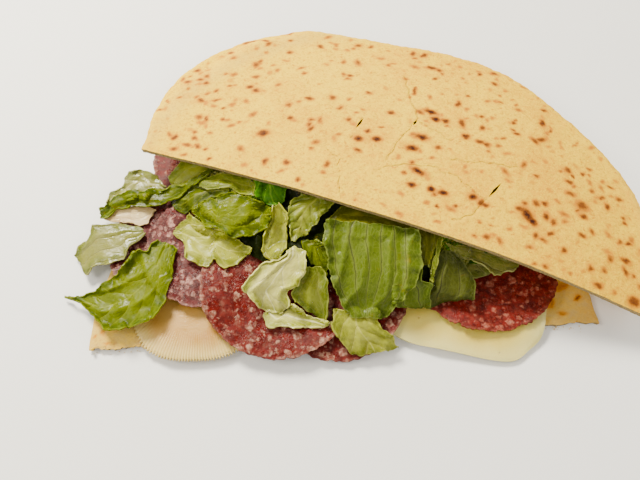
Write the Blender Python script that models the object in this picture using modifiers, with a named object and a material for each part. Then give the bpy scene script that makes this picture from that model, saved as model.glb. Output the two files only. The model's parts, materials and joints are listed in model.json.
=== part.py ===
"""A piadina cut in two: the lower half carries cheese, salami and lettuce, the upper half lies over them.

The origin is on the flat underside of the lower half, X runs along its cut edge, Y away from the open
side and Z up. Every piece rests on those below it: a height field holds the top of what is built so far,
and each new sheet is draped over that field with a small gap.
"""
import math

import bmesh
import bpy
import numpy as np
from mathutils import Vector
from mathutils.bvhtree import BVHTree

MM = 0.001

# Height field that the pieces are draped over, in millimetres
CELL = 1.5
FIELD_X = (-174.0, 192.0)
FIELD_Y = (-96.0, 150.0)
GAP = 0.45
LEAST_GAP = 0.3

# Bread: a disc about 28 cm across and 3 mm thick, cut in two
BREAD = 3.0
LOWER_CUT_Y = -60.0
LOWER_RADIUS = 140.0
LOWER_RAGGED = 0.9

UPPER_MIDDLE = (27.6, -6.6)
UPPER_TURN = math.radians(-23.2)
UPPER_REACH = 148.0
UPPER_RADII = ((0, 147), (15, 149), (30, 151), (44, 144), (60, 141), (75, 145), (90, 142), (107, 141),
               (120, 152), (134, 170), (150, 173), (162, 170), (171, 160), (180, 151))
UPPER_RIM = ((0, 12), (45, 9), (90, 10), (135, 17), (180, 25))
UPPER_HUB = 34.0
UPPER_DOME = 2.2
UPPER_DROOP = 1.15
FOLD_AT = (101.0, 101.0)
FOLD_HALF = (11.0, 3.5)
FOLD_HEIGHT = 1.6
SLITS = (((-38, 52), (-36, 61)), ((-7, 66), (-6, 71)), ((46, 32), (51, 45)))
SLIT_WIDTH = 0.8

# Cheese: middle, half sizes, heading in degrees, squareness of the outline
CHEESE = 1.8
CHEESE_SLICES = {
    "cheese_left": ((-81, -19), (38, 51), 0, 2.7),
    "cheese_right": ((70, -31), (46, 44), -16, 4.2),
}

# Salami: middle, half sizes, heading, depth of its waves; the first lies lowest
SALAMI = 1.5
SALAMI_SLICES = {
    "salami_middle": ((-10, 12), (40, 38), 20, 1.0),
    "salami_back_left": ((-72, 60), (39, 37), 0, 1.5),
    "salami_left": ((-96, 2), (38, 33), 35, 2.0),
    "salami_right": ((80, -24), (43, 40), -10, 2.6),
    "salami_front_right": ((-3, -35), (40, 39), 60, 1.2),
    "salami_front_left": ((-80, -8), (31, 34), 15, 2.4),
    "salami_front": ((-38, -33), (42, 39), -30, 1.8),
}

# Leaves: spine from root to tip as (x, y, z), its rise and sideways bow in the middle, the half widths on
# the left and right of the spine from root to tip, roll in degrees, cup, depth and count of the ruffles
LEAF = 1.1
APART_BELOW = {
    "leaf_rib": ((-108, 19, 9), (-135, 19, 7), 1, 0, (5, 6, 5, 3), (5, 6, 6, 3), 0, 1.0, 0.5, 2),
    "leaf_frill": ((-98, 37, 13), (-127, 41, 7), 2, 0, (7, 9, 9, 5), (5, 8, 7, 5), 0, 1.5, 1.8, 4),
    "leaf_pale": ((-111, 3, 10), (-153, -8, 2), 3, 0, (7, 11, 10, 4), (8, 13, 14, 5), 0, 2.0, 1.2, 2),
}
APART_ABOVE = {
    "leaf_strip": ((-70, 42, 20), (-141, 23, 6), 1, 4, (3, 5, 6, 4), (3, 6, 5, 5), 0, 1.2, 1.0, 5),
    "leaf_front_left": ((-92, -14, 9), (-155, -30, 3), 4, 0, (11, 25, 24, 15, 3), (13, 19, 17, 6, 2),
                        0, 1.5, 2.4, 4),
}
HEAP_LEAVES = {
    "under_edge": ((-84, 49, 21), (-92, 31, 12), 1, 0, (8, 11, 9), (9, 11, 8), 0, 1.5, 0.8, 2),
    "dark_left": ((-68, 37, 15), (-96, 18, 10), 1, 0, (8, 10, 6), (8, 9, 6), 0, 1.0, 1.0, 2),
    "back_left": ((-80, 36, 17), (-46, 28, 19), 2, 0, (6, 8, 6), (6, 8, 6), 0, 1.0, 1.5, 3),
    "yellow_left": ((-93, 13, 10), (-50, -13, 12), 3, 0, (8, 12, 12, 5), (8, 14, 15, 6), 0, 2.0, 1.2, 2),
    "veined_left": ((-84, 16, 14), (-38, 5, 20), 4, 0, (7, 12, 13, 8), (6, 11, 11, 7), 0, 2.0, 1.2, 3),
    "bright_back": ((-38, 31, 28), (-39, 13, 21), 1, 0, (8, 9, 7), (8, 9, 7), 0, 1.0, 0.6, 2),
    "curly": ((-9, 18, 29), (-26, -8, 20), 2, 0, (7, 10, 7), (7, 10, 8), 0, 1.0, 2.6, 4),
    "upright": ((-33, 11, 26), (-41, -18, 13), 3, 0, (5, 9, 6), (6, 9, 6), 20, 2.0, 1.0, 2),
    "ribbed": ((-25, -8, 23), (-10, -28, 17), 2, 0, (7, 9, 6), (7, 8, 6), 0, 1.5, 0.6, 2),
    "middle_green": ((-16, -24, 21), (-12, -54, 9), 2, 0, (6, 9, 8, 4), (5, 8, 8, 5), 0, 1.0, 0.8, 2),
    "behind_middle": ((-3, 5, 25), (48, -12, 24), 3, 0, (7, 9, 8), (8, 9, 8), 0, 1.0, 1.2, 3),
    "thin_edge": ((53, -14, 25), (49, -38, 13), 1, 0, (3, 4, 2), (3, 4, 2), 35, 0.5, 0.4, 2),
    "right": ((60, -17, 21), (62, -49, 8), 3, 0, (8, 11, 12, 9), (7, 9, 10, 8), 0, 2.0, 0.8, 2),
    "under_right": ((58, -16, 18), (98, -30, 12), 2, 0, (6, 7, 6), (7, 9, 6), 0, 1.0, 1.0, 3),
    "low_ribs": ((-46, -51, 10), (-8, -56, 9), 1, 0, (4, 5, 4), (4, 5, 4), 0, 0.6, 0.8, 3),
    "bottom_yellow": ((1, -49, 13), (14, -73, 5), 2, 0, (9, 13, 13, 7), (7, 11, 11, 7), 0, 1.5, 1.0, 2),
    "middle_side": ((37, -12, 26), (36, -51, 10), 3, 0, (9, 11, 10, 8), (8, 9, 10, 9), 0, 1.5, 0.8, 2),
    "middle": ((19, -4, 30), (12, -55, 10), 4, 0, (22, 22, 18, 13), (24, 24, 18, 14), 0, 3.0, 1.6, 3),
    "white": ((-27, -16, 26), (-44, -50, 10), 4, 0, (9, 13, 15, 11), (9, 13, 13, 9), 0, 2.0, 2.0, 3),
}
CORE_MIDDLE = (-2.0, 8.0)
CORE_HALF = (94.0, 56.0)
CORE_TURN = math.radians(-16.0)
CORE_HEIGHT = 33.2
CORE_PROFILE = 3.0
CORE_EDGE = 1.4
CORE_BUMP = 1.0


def clear_scene():
    """Remove every object, so that the script can be run again."""
    for thing in list(bpy.data.objects):
        bpy.data.objects.remove(thing, do_unlink=True)


def paint(name, colour, roughness):
    """A plain Principled material."""
    material = bpy.data.materials.new(name)
    material.use_nodes = True
    shader = material.node_tree.nodes["Principled BSDF"]
    shader.inputs["Base Color"].default_value = (*colour, 1.0)
    shader.inputs["Roughness"].default_value = roughness
    shader.inputs["Metallic"].default_value = 0.0
    return material


def group(name):
    """A collection in the scene."""
    collection = bpy.data.collections.new(name)
    bpy.context.scene.collection.children.link(collection)
    return collection


def evaluated(thing):
    """The mesh of an object with its modifiers, as a bmesh in metres."""
    bpy.context.view_layer.update()
    solid = thing.evaluated_get(bpy.context.evaluated_depsgraph_get())
    bm = bmesh.new()
    bm.from_mesh(solid.to_mesh())
    solid.to_mesh_clear()
    return bm


def apply_modifiers(thing):
    """Replace an object's mesh by its evaluated mesh."""
    bm = evaluated(thing)
    thing.modifiers.clear()
    bm.to_mesh(thing.data)
    bm.free()


def field_axes():
    """Middles of the height field's cells along X and Y."""
    xs = np.arange(FIELD_X[0], FIELD_X[1], CELL)
    ys = np.arange(FIELD_Y[0], FIELD_Y[1], CELL)
    return xs, ys


def sample(field, x, y):
    """Bilinear value of a field at plan points."""
    xs, ys = field_axes()
    fx = np.clip((np.asarray(x) - xs[0]) / CELL, 0, len(xs) - 1.001)
    fy = np.clip((np.asarray(y) - ys[0]) / CELL, 0, len(ys) - 1.001)
    i, j = fx.astype(int), fy.astype(int)
    u, v = fx - i, fy - j
    low = field[j, i] * (1 - u) + field[j, i + 1] * u
    high = field[j + 1, i] * (1 - u) + field[j + 1, i + 1] * u
    return low * (1 - v) + high * v


def shifted(field, dy, dx):
    """A field moved by whole cells, with its edge values repeated."""
    padded = np.pad(field, ((abs(dy), abs(dy)), (abs(dx), abs(dx))), mode="edge")
    rows, columns = field.shape
    return padded[abs(dy) - dy:abs(dy) - dy + rows, abs(dx) - dx:abs(dx) - dx + columns]


def widened(field, reach):
    """Highest value within a square of the given reach, in cells."""
    out = field
    for step in range(-reach, reach + 1):
        out = np.maximum(out, shifted(field, 0, step))
    across = out
    for step in range(-reach, reach + 1):
        out = np.maximum(out, shifted(across, step, 0))
    return out


def blurred(field, reach):
    """Mean over a square of the given reach, in cells."""
    total = sum(shifted(field, 0, step) for step in range(-reach, reach + 1))
    total = sum(shifted(total, step, 0) for step in range(-reach, reach + 1))
    return total / (2 * reach + 1) ** 2


def draped(below, inside, reach=3, rounds=14):
    """A sheet over a field: it bridges hollows and never goes below the field."""
    mask = inside.astype(float)
    share = np.maximum(blurred(mask, reach), 1e-6)
    sheet = below.copy()
    for _ in range(rounds):
        smooth = blurred(sheet * mask, reach) / share
        sheet = np.where(inside, np.maximum(below, smooth), below)
    return sheet


def heights(thing, from_above):
    """Highest or lowest z of an object over each cell, nan where it isn't."""
    bm = evaluated(thing)
    tree = BVHTree.FromBMesh(bm)
    corners = np.array([vertex.co for vertex in bm.verts]) / MM
    bm.free()
    xs, ys = field_axes()
    field = np.full((len(ys), len(xs)), np.nan)
    columns = np.nonzero((xs >= corners[:, 0].min()) & (xs <= corners[:, 0].max()))[0]
    rows = np.nonzero((ys >= corners[:, 1].min()) & (ys <= corners[:, 1].max()))[0]
    start, way = (0.2, Vector((0, 0, -1))) if from_above else (-0.1, Vector((0, 0, 1)))
    for j in rows:
        for i in columns:
            hit = tree.ray_cast(Vector((xs[i] * MM, ys[j] * MM, start)), way)[0]
            if hit is not None:
                field[j, i] = hit.z / MM
    return field


def stack(relief, thing):
    """The field after an object has been laid on it."""
    top = heights(thing, True)
    return np.fmax(relief, top)


def settle(thing, relief, reach):
    """Lift the points of a draped sheet until its underside is clear of what is below."""
    for _ in range(10):
        lack = relief + LEAST_GAP - heights(thing, False)
        lack = np.where(np.isnan(lack), 0.0, np.maximum(lack, 0.0))
        if lack.max() <= 0.0:
            return
        lift = widened(lack, reach)
        for vertex in thing.data.vertices:
            rise = float(sample(lift, vertex.co.x / MM, vertex.co.y / MM))
            vertex.co.z += (rise + 0.02 * (rise > 0)) * MM
        thing.data.update()


def grid_sheet(name, across, along, place):
    """An open grid of triangles; place gives each point from its two grid coordinates, -1 to 1."""
    bm = bmesh.new()
    bmesh.ops.create_grid(bm, x_segments=across, y_segments=along, size=1.0)
    for vertex in bm.verts:
        vertex.co = Vector(place(vertex.co.x, vertex.co.y)) * MM
    bmesh.ops.recalc_face_normals(bm, faces=bm.faces[:])
    if sum(face.normal.z * face.calc_area() for face in bm.faces) < 0:
        bmesh.ops.reverse_faces(bm, faces=bm.faces[:])
    bmesh.ops.triangulate(bm, faces=bm.faces[:], quad_method="SHORT_EDGE")
    mesh = bpy.data.meshes.new(name)
    bm.to_mesh(mesh)
    bm.free()
    mesh.shade_smooth()
    return bpy.data.objects.new(name, mesh)


def thicken(thing, thickness):
    """Give an open sheet its thickness, upwards."""
    solid = thing.modifiers.new("Thickness", "SOLIDIFY")
    solid.thickness = thickness * MM
    solid.offset = 1.0


def disc_point(a, b):
    """A square's point carried to the round disc: distance from the middle and angle."""
    x = a * math.sqrt(1 - b * b / 2)
    y = b * math.sqrt(1 - a * a / 2)
    return math.hypot(x, y), math.atan2(y, x)


def half_disc_point(a, b):
    """The same for a half disc whose straight side is at b = -1."""
    return disc_point(a, (b + 1) / 2)


def eased(pairs, at):
    """Value at a place between named pairs, with smooth joins."""
    places = [pair[0] for pair in pairs]
    values = [pair[1] for pair in pairs]
    span = (places[-1] - places[0]) / (len(pairs) * 2)
    offsets = [-span, -span / 2, 0, span / 2, span]
    return sum(float(np.interp(at + offset, places, values)) for offset in offsets) / len(offsets)


def rough_edge(at, size):
    """An uneven edge: a few sines that never line up."""
    return size * (math.sin(at * 0.31) + 0.6 * math.sin(at * 0.83 + 1.3) + 0.4 * math.sin(at * 1.9 + 0.4)) / 2


def upper_local(x, y):
    """Plan point in the upper half's own axes: along its cut edge and away from it."""
    dx, dy = x - UPPER_MIDDLE[0], y - UPPER_MIDDLE[1]
    turn = UPPER_TURN
    return dx * math.cos(turn) + dy * math.sin(turn), -dx * math.sin(turn) + dy * math.cos(turn)


def upper_plan(u, v):
    """The reverse of upper_local."""
    turn = UPPER_TURN
    x = UPPER_MIDDLE[0] + u * math.cos(turn) - v * math.sin(turn)
    y = UPPER_MIDDLE[1] + u * math.sin(turn) + v * math.cos(turn)
    return x, y


def upper_height(u, v):
    """Underside of the upper half where nothing pushes it up: a low dome with a small fold at its rim."""
    angle = math.degrees(math.atan2(max(v, 0.0), u))
    rho = min(UPPER_DROOP, math.hypot(u, v) / UPPER_REACH)
    rim = eased(UPPER_RIM, angle)
    fold_u, fold_v = (u - FOLD_AT[0]) / FOLD_HALF[0], (v - FOLD_AT[1]) / FOLD_HALF[1]
    along = (fold_u * FOLD_HALF[0] - fold_v * FOLD_HALF[1]) / math.sqrt(2) / FOLD_HALF[0]
    across = (fold_u * FOLD_HALF[0] + fold_v * FOLD_HALF[1]) / math.sqrt(2) / FOLD_HALF[1]
    fold = FOLD_HEIGHT * math.exp(-along ** 2 - across ** 2)
    return rim + (UPPER_HUB - rim) * (1 - rho ** UPPER_DOME) + fold


def lower_bread(parts, material):
    """The lower half lies flat, with a ragged cut along its straight side."""
    def place(a, b):
        rho, angle = half_disc_point(a, b)
        x = rho * LOWER_RADIUS * math.cos(angle)
        y = rho * LOWER_RADIUS * math.sin(angle)
        ragged = rough_edge(x, LOWER_RAGGED) if y < 0.01 else 0.0
        return x, LOWER_CUT_Y + y + ragged, 0.0
    thing = grid_sheet("bread_bottom", 22, 11, place)
    parts.objects.link(thing)
    thing.data.materials.append(material)
    thicken(thing, BREAD)
    return thing


def superellipse(a, b, middle, half, turn, power):
    """A square's point carried into a rounded outline."""
    rho, angle = disc_point(a, b)
    c, s = math.cos(angle), math.sin(angle)
    reach = (abs(c) ** power + abs(s) ** power) ** (-1 / power)
    x, y = rho * reach * half[0] * c, rho * reach * half[1] * s
    return middle[0] + x * math.cos(turn) - y * math.sin(turn), middle[1] + x * math.sin(turn) + y * math.cos(turn)


def inside_field(middle, half, turn):
    """Cells of the height field under a slice's outline box, turned."""
    xs, ys = field_axes()
    gx, gy = np.meshgrid(xs - middle[0], ys - middle[1])
    u = gx * math.cos(turn) + gy * math.sin(turn)
    v = -gx * math.sin(turn) + gy * math.cos(turn)
    return (u / half[0]) ** 2 + (v / half[1]) ** 2 <= 1.15


def slice_of(name, parts, relief, slice_sizes, thickness, cells, material, wave, power):
    """A thin slice draped over what lies below, with waves of its own."""
    middle, half, degrees = slice_sizes
    turn = math.radians(degrees)
    lie = draped(widened(relief, 2) + GAP, inside_field(middle, half, turn))

    def place(a, b):
        x, y = superellipse(a, b, middle, half, turn, power)
        swell = wave * (1 + math.sin(a * 4.1 + degrees) * math.cos(b * 3.7 - degrees)) / 2
        return x, y, float(sample(lie, x, y)) + swell * max(abs(a), abs(b))
    thing = grid_sheet(name, cells, cells, place)
    parts.objects.link(thing)
    thing.data.materials.append(material)
    thicken(thing, thickness)
    settle(thing, relief, 4)
    return thing


def leaf_point(leaf, s, t):
    """Point of a leaf: s runs along the spine from 0 to 1, t across it from -1 to 1."""
    root, tip, rise, bow, left, right, roll, cup, ruffle, waves = leaf
    way = Vector((tip[0] - root[0], tip[1] - root[1], 0.0))
    way.normalize()
    side = Vector((-way.y, way.x, 0.0))
    arch = 4 * s * (1 - s)
    spine = Vector(root).lerp(Vector(tip), s) + Vector((0, 0, rise * arch)) + side * bow * arch
    widths = left if t < 0 else right
    places = np.linspace(0, 1, len(widths))
    width = eased(tuple(zip(places, widths)), s)
    lean = math.radians(roll)
    out = side * (-t * width * math.cos(lean)) + Vector((0, 0, t * width * math.sin(lean)))
    curl = cup * (0.3 - t * t) + ruffle * t * t * math.sin(waves * math.pi * s + 1.7 * t + root[0])
    return spine + out + Vector((0, 0, curl))


def leaf_sheet(name, leaf, relief, cells):
    """A leaf as a thin wavy sheet that stays above what it lies on."""
    lie = blurred(widened(relief, 2), 1) + GAP

    def place(a, b):
        point = leaf_point(leaf, (a + 1) / 2, b)
        point.z = max(point.z, float(sample(lie, point.x, point.y)))
        return point
    return grid_sheet(name, cells[0], cells[1], place)


def lone_leaf(name, leaf, parts, relief, material):
    """A leaf that lies apart from the heap."""
    thing = leaf_sheet(name, leaf, relief, (9, 5))
    parts.objects.link(thing)
    thing.data.materials.append(material)
    thicken(thing, LEAF)
    settle(thing, relief, 3)
    return thing


def core_height(x, y):
    """Top of the heap's core: a mound with soft bumps."""
    dx, dy = x - CORE_MIDDLE[0], y - CORE_MIDDLE[1]
    u = (dx * math.cos(CORE_TURN) + dy * math.sin(CORE_TURN)) / CORE_HALF[0]
    v = (-dx * math.sin(CORE_TURN) + dy * math.cos(CORE_TURN)) / CORE_HALF[1]
    mound = max(0.0, 1 - math.hypot(u, v) ** CORE_PROFILE)
    return CORE_HEIGHT * mound + CORE_BUMP * math.sin(x * 0.24) * math.cos(y * 0.29)


def heap_core(parts, relief, ceiling):
    """The body of the heap: its underside follows what it lies on, its top meets the leaves over it."""
    lie = draped(widened(relief, 3) + GAP, inside_field(CORE_MIDDLE, CORE_HALF, CORE_TURN), 2, 6)

    def place(a, b):
        x, y = superellipse(a, b, CORE_MIDDLE, CORE_HALF, CORE_TURN, 2.0)
        return x, y, float(sample(lie, x, y))
    thing = grid_sheet("core", 18, 12, place)
    parts.objects.link(thing)
    settle(thing, relief, 6)
    bm = bmesh.new()
    bm.from_mesh(thing.data)
    skin = bmesh.ops.extrude_face_region(bm, geom=bm.faces[:])["geom"]
    for vertex in (piece for piece in skin if isinstance(piece, bmesh.types.BMVert)):
        x, y, z = vertex.co / MM
        top = min(core_height(x, y), float(sample(ceiling, x, y)))
        vertex.co.z = max(z + CORE_EDGE, top) * MM
    bmesh.ops.recalc_face_normals(bm, faces=bm.faces[:])
    bm.to_mesh(thing.data)
    bm.free()
    return thing


def keep_largest_body(thing):
    """Drop loose scraps and the inner skins of sealed hollows."""
    bm = bmesh.new()
    bm.from_mesh(thing.data)
    unseen = set(bm.verts)
    bodies = []
    while unseen:
        front = [unseen.pop()]
        body = list(front)
        while front:
            vertex = front.pop()
            for edge in vertex.link_edges:
                other = edge.other_vert(vertex)
                if other in unseen:
                    unseen.remove(other)
                    front.append(other)
                    body.append(other)
        bodies.append(body)
    bodies.sort(key=len)
    loose = [vertex for body in bodies[:-1] for vertex in body]
    bmesh.ops.delete(bm, geom=loose, context="VERTS")
    bm.to_mesh(thing.data)
    bm.free()


def heap(parts, tools, relief, material):
    """The lettuce heap: the core with the leaves that show fused on."""
    ceiling = np.full(relief.shape, CORE_HEIGHT + 2 * CORE_BUMP)
    for name, leaf in HEAP_LEAVES.items():
        thing = leaf_sheet("heap_" + name, leaf, relief, (6, 4))
        tools.objects.link(thing)
        thicken(thing, LEAF)
        settle(thing, relief, 3)
        apply_modifiers(thing)
        ceiling = np.fmin(ceiling, heights(thing, False) + LEAF / 2)
    body = heap_core(parts, relief, ceiling)
    join = body.modifiers.new("Leaves", "BOOLEAN")
    join.operation = "UNION"
    join.operand_type = "COLLECTION"
    join.collection = tools
    join.solver = "MANIFOLD"
    apply_modifiers(body)
    for thing in list(tools.objects):
        bpy.data.objects.remove(thing, do_unlink=True)
    keep_largest_body(body)
    body.name = "lettuce_heap"
    body.data.materials.clear()
    body.data.materials.append(material)
    body.data.shade_smooth()
    return body


def upper_bread(parts, cutters, relief, material):
    """The upper half bends over the filling, and three short slits go through it."""
    xs, ys = field_axes()
    shape = np.array([[upper_height(*upper_local(x, y)) for x in xs] for y in ys])
    below = np.maximum(widened(relief, 3) + GAP, shape)
    local = [[upper_local(x, y) for x in xs] for y in ys]
    inside = np.array([[v > -3 and math.hypot(u, v) < UPPER_REACH + 14 for u, v in row] for row in local])
    lie = draped(below, inside, 4, 20)

    def place(a, b):
        rho, angle = half_disc_point(a, b)
        reach = rho * eased(UPPER_RADII, math.degrees(angle))
        x, y = upper_plan(reach * math.cos(angle), reach * math.sin(angle))
        return x, y, float(sample(lie, x, y))
    thing = grid_sheet("bread_top", 28, 14, place)
    parts.objects.link(thing)
    thing.data.materials.append(material)
    thicken(thing, BREAD)
    settle(thing, relief, 5)
    for number, (start, end) in enumerate(SLITS):
        (x0, y0), (x1, y1) = upper_plan(*start), upper_plan(*end)
        bpy.ops.mesh.primitive_cube_add(size=1, location=((x0 + x1) / 2 * MM, (y0 + y1) / 2 * MM, 0.04))
        knife = bpy.context.object
        knife.name = f"slit_{number + 1}"
        knife.scale = (math.hypot(x1 - x0, y1 - y0) * MM, SLIT_WIDTH * MM, 0.08)
        knife.rotation_euler.z = math.atan2(y1 - y0, x1 - x0)
        knife.hide_render = True
        knife.display_type = "WIRE"
        for home in list(knife.users_collection):
            home.objects.unlink(knife)
        cutters.objects.link(knife)
        cut = thing.modifiers.new(knife.name, "BOOLEAN")
        cut.operation = "DIFFERENCE"
        cut.object = knife
        cut.solver = "EXACT"
    return thing


def build():
    """Lay the pieces from the lowest to the highest."""
    clear_scene()
    parts = group("piadina")
    cutters = group("cutters")
    tools = group("heap_leaves")
    crust = paint("bread", (0.84, 0.69, 0.43), 0.75)
    cheese = paint("cheese", (0.86, 0.74, 0.43), 0.45)
    salami = paint("salami", (0.38, 0.06, 0.05), 0.4)
    green = paint("lettuce", (0.33, 0.42, 0.06), 0.4)
    pale = paint("pale_lettuce", (0.66, 0.66, 0.36), 0.4)
    xs, ys = field_axes()
    relief = np.zeros((len(ys), len(xs)))
    relief = stack(relief, lower_bread(parts, crust))
    for name, (middle, half, turn, power) in CHEESE_SLICES.items():
        sizes = (middle, half, turn)
        relief = stack(relief, slice_of(name, parts, relief, sizes, CHEESE, 9, cheese, 0.4, power))
    for name, (middle, half, turn, wave) in SALAMI_SLICES.items():
        sizes = (middle, half, turn)
        relief = stack(relief, slice_of(name, parts, relief, sizes, SALAMI, 8, salami, wave, 2.0))
    for name, leaf in APART_BELOW.items():
        relief = stack(relief, lone_leaf(name, leaf, parts, relief, pale))
    relief = stack(relief, heap(parts, tools, relief, green))
    for name, leaf in APART_ABOVE.items():
        relief = stack(relief, lone_leaf(name, leaf, parts, relief, green))
    upper_bread(parts, cutters, relief, crust)


build()
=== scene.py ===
import json
import math

import bpy
import numpy as np
from mathutils import Matrix, Vector
from mathutils.bvhtree import BVHTree

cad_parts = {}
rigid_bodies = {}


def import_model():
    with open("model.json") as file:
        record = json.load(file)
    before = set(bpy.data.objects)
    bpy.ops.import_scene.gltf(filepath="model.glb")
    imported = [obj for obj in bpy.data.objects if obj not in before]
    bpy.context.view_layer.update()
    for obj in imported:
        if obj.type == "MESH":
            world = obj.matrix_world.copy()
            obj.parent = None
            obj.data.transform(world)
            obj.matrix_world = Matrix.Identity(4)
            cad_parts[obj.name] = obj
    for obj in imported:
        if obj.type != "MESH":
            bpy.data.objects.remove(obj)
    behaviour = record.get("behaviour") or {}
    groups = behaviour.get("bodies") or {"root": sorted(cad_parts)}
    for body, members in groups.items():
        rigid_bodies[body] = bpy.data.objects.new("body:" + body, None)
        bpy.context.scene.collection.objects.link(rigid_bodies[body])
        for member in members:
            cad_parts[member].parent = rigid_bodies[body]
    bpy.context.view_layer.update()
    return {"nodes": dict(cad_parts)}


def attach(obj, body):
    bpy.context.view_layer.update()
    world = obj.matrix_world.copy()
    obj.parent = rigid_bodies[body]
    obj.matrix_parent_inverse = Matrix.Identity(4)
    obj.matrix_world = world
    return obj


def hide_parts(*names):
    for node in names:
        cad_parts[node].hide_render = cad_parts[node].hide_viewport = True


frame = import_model()


# Floor, light and camera: a pale matt floor that the sandwich lies on, one large soft light from behind on
# the left, weaker ones from the left, the front and the right, and the camera at the photograph's angle.
MM = 0.001
FLOOR_SIDE = 6000.0
FLOOR_DROP = 0.2
FLOOR_COLOURS = ((236, 235, 231), (239, 238, 235))
CAMERA_UP = math.radians(62.29)
CAMERA_SIDE = math.radians(-3.70)
CAMERA_ROLL = math.radians(0.38)
CAMERA_DISTANCE = 413.46
CAMERA_TARGET = (-10.89, 1.26, 0.0)
CAMERA_LENS = 39.375
CAMERA_SENSOR = 36.0
SKY_COLOUR = (246, 245, 240)
SKY_STRENGTH = 0.5
# Place, size, power and colour of each light; they all face the origin
LIGHTS = {
    "window_behind": ((-520, 860, 920), (420, 380), 56.0, (255, 248, 230)),
    "window_left": ((-620, -60, 520), (360, 300), 4.0, (255, 248, 232)),
    "fill_front": ((180, -520, 520), (500, 400), 2.2, (255, 250, 240)),
    "fill_right": ((620, 120, 420), (400, 400), 1.6, (255, 248, 234)),
}


def linear(colour):
    """A colour of 0 to 255, as a paint chart gives it, as linear light with full alpha."""
    parts = [channel / 255 for channel in colour]
    return (*[part / 12.92 if part <= 0.04045 else ((part + 0.055) / 1.055) ** 2.4 for part in parts], 1.0)


def add(tree, kind, settings=None, links=None):
    """A shader node: settings are its properties, links its inputs, each a value or another's output."""
    node = tree.nodes.new("ShaderNode" + kind)
    for key, value in (settings or {}).items():
        setattr(node, key, value)
    for key, value in (links or {}).items():
        socket = node.inputs[key]
        if isinstance(value, bpy.types.NodeSocket):
            tree.links.new(value, socket)
        else:
            socket.default_value = value
    return node


def new_material(name, roughness):
    """A material with its Principled shader; roughness is the plain value to start from."""
    material = bpy.data.materials.new(name)
    material.use_nodes = True
    shader = material.node_tree.nodes["Principled BSDF"]
    shader.inputs["Roughness"].default_value = roughness
    return material, material.node_tree, shader


def millimetres(tree):
    """Object coordinates in millimetres."""
    place = add(tree, "TexCoord")
    return add(tree, "VectorMath", {"operation": "SCALE"},
               {0: place.outputs["Object"], "Scale": 1 / MM}).outputs["Vector"]


def noise(tree, vector, scale, detail=3.0, roughness=0.55, distortion=0.0):
    """Noise from 0 to 1; scale is in features for each millimetre."""
    return add(tree, "TexNoise", None, {"Vector": vector, "Scale": scale, "Detail": detail,
                                        "Roughness": roughness, "Distortion": distortion}).outputs["Fac"]


def blend(tree, share, low, high):
    """Mix of two colours or colour outputs."""
    node = add(tree, "Mix", {"data_type": "RGBA"}, {"Factor": share})
    for socket, value in ((node.inputs[6], low), (node.inputs[7], high)):
        if isinstance(value, bpy.types.NodeSocket):
            tree.links.new(value, socket)
        else:
            socket.default_value = linear(value)
    return node.outputs[2]


def look_from(target, up, side, roll, distance):
    """Matrix of a camera that looks at a target from an elevation and a turn about the vertical."""
    back = Vector((math.sin(side) * math.cos(up), -math.cos(side) * math.cos(up), math.sin(up)))
    right = Vector((0, 0, 1)).cross(back).normalized()
    over = back.cross(right)
    x_axis = math.cos(roll) * right + math.sin(roll) * over
    y_axis = -math.sin(roll) * right + math.cos(roll) * over
    place = (Vector(target) + back * distance) * MM
    turned = Matrix((x_axis, y_axis, back)).transposed().to_4x4()
    return Matrix.Translation(place) @ turned


bpy.ops.object.select_all(action="DESELECT")
bpy.ops.object.camera_add()
camera = bpy.context.object
camera.name = "camera"
camera.data.sensor_width = CAMERA_SENSOR
camera.data.lens = CAMERA_LENS
camera.matrix_world = look_from(CAMERA_TARGET, CAMERA_UP, CAMERA_SIDE, CAMERA_ROLL, CAMERA_DISTANCE)
bpy.context.scene.camera = camera

bpy.ops.mesh.primitive_plane_add(size=FLOOR_SIDE * MM, location=(0, 0, -FLOOR_DROP * MM))
floor = bpy.context.object
floor.name = "floor"
floor_paint, floor_tree, floor_shader = new_material("floor_paint", 0.6)
floor_grain = noise(floor_tree, millimetres(floor_tree), 0.02, 4.0)
floor_tree.links.new(blend(floor_tree, floor_grain, *FLOOR_COLOURS), floor_shader.inputs["Base Color"])
floor.data.materials.append(floor_paint)

for name, (place, size, power, colour) in LIGHTS.items():
    bpy.ops.object.light_add(type="AREA", location=Vector(place) * MM)
    lamp = bpy.context.object
    lamp.name = name
    lamp.data.shape = "RECTANGLE"
    lamp.data.size = size[0] * MM
    lamp.data.size_y = size[1] * MM
    lamp.data.energy = power
    lamp.data.color = linear(colour)[:3]
    lamp.rotation_euler = (-Vector(place)).to_track_quat("-Z", "Y").to_euler()

sky = bpy.data.worlds.new("sky")
sky.use_nodes = True
sky.node_tree.nodes["Background"].inputs["Color"].default_value = linear(SKY_COLOUR)
sky.node_tree.nodes["Background"].inputs["Strength"].default_value = SKY_STRENGTH
bpy.context.scene.world = sky


# Lower half of the bread: a half disc of unleavened dough 3 mm thick, baked on a hot plate, which leaves
# scorched spots. It was cut with a serrated knife, so its straight side is ragged and shows pale crumb.
BREAD = 3.0
LOWER_RADIUS = 140.0
LOWER_CUT_Y = -60.0
LOWER_RAGGED = 0.9
LOWER_CELLS = (200, 100)
OFF_FLOOR = 0.15
# How far the ragged cut reaches in; how deep and how far in the rim is rounded
CUT_BAND = 0.8
RIM_DROP = 0.9
RIM_BAND = 1.4
# How much thinner a dressed piece is than its solid, which leaves room for its relief
SLIM = 0.2
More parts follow.
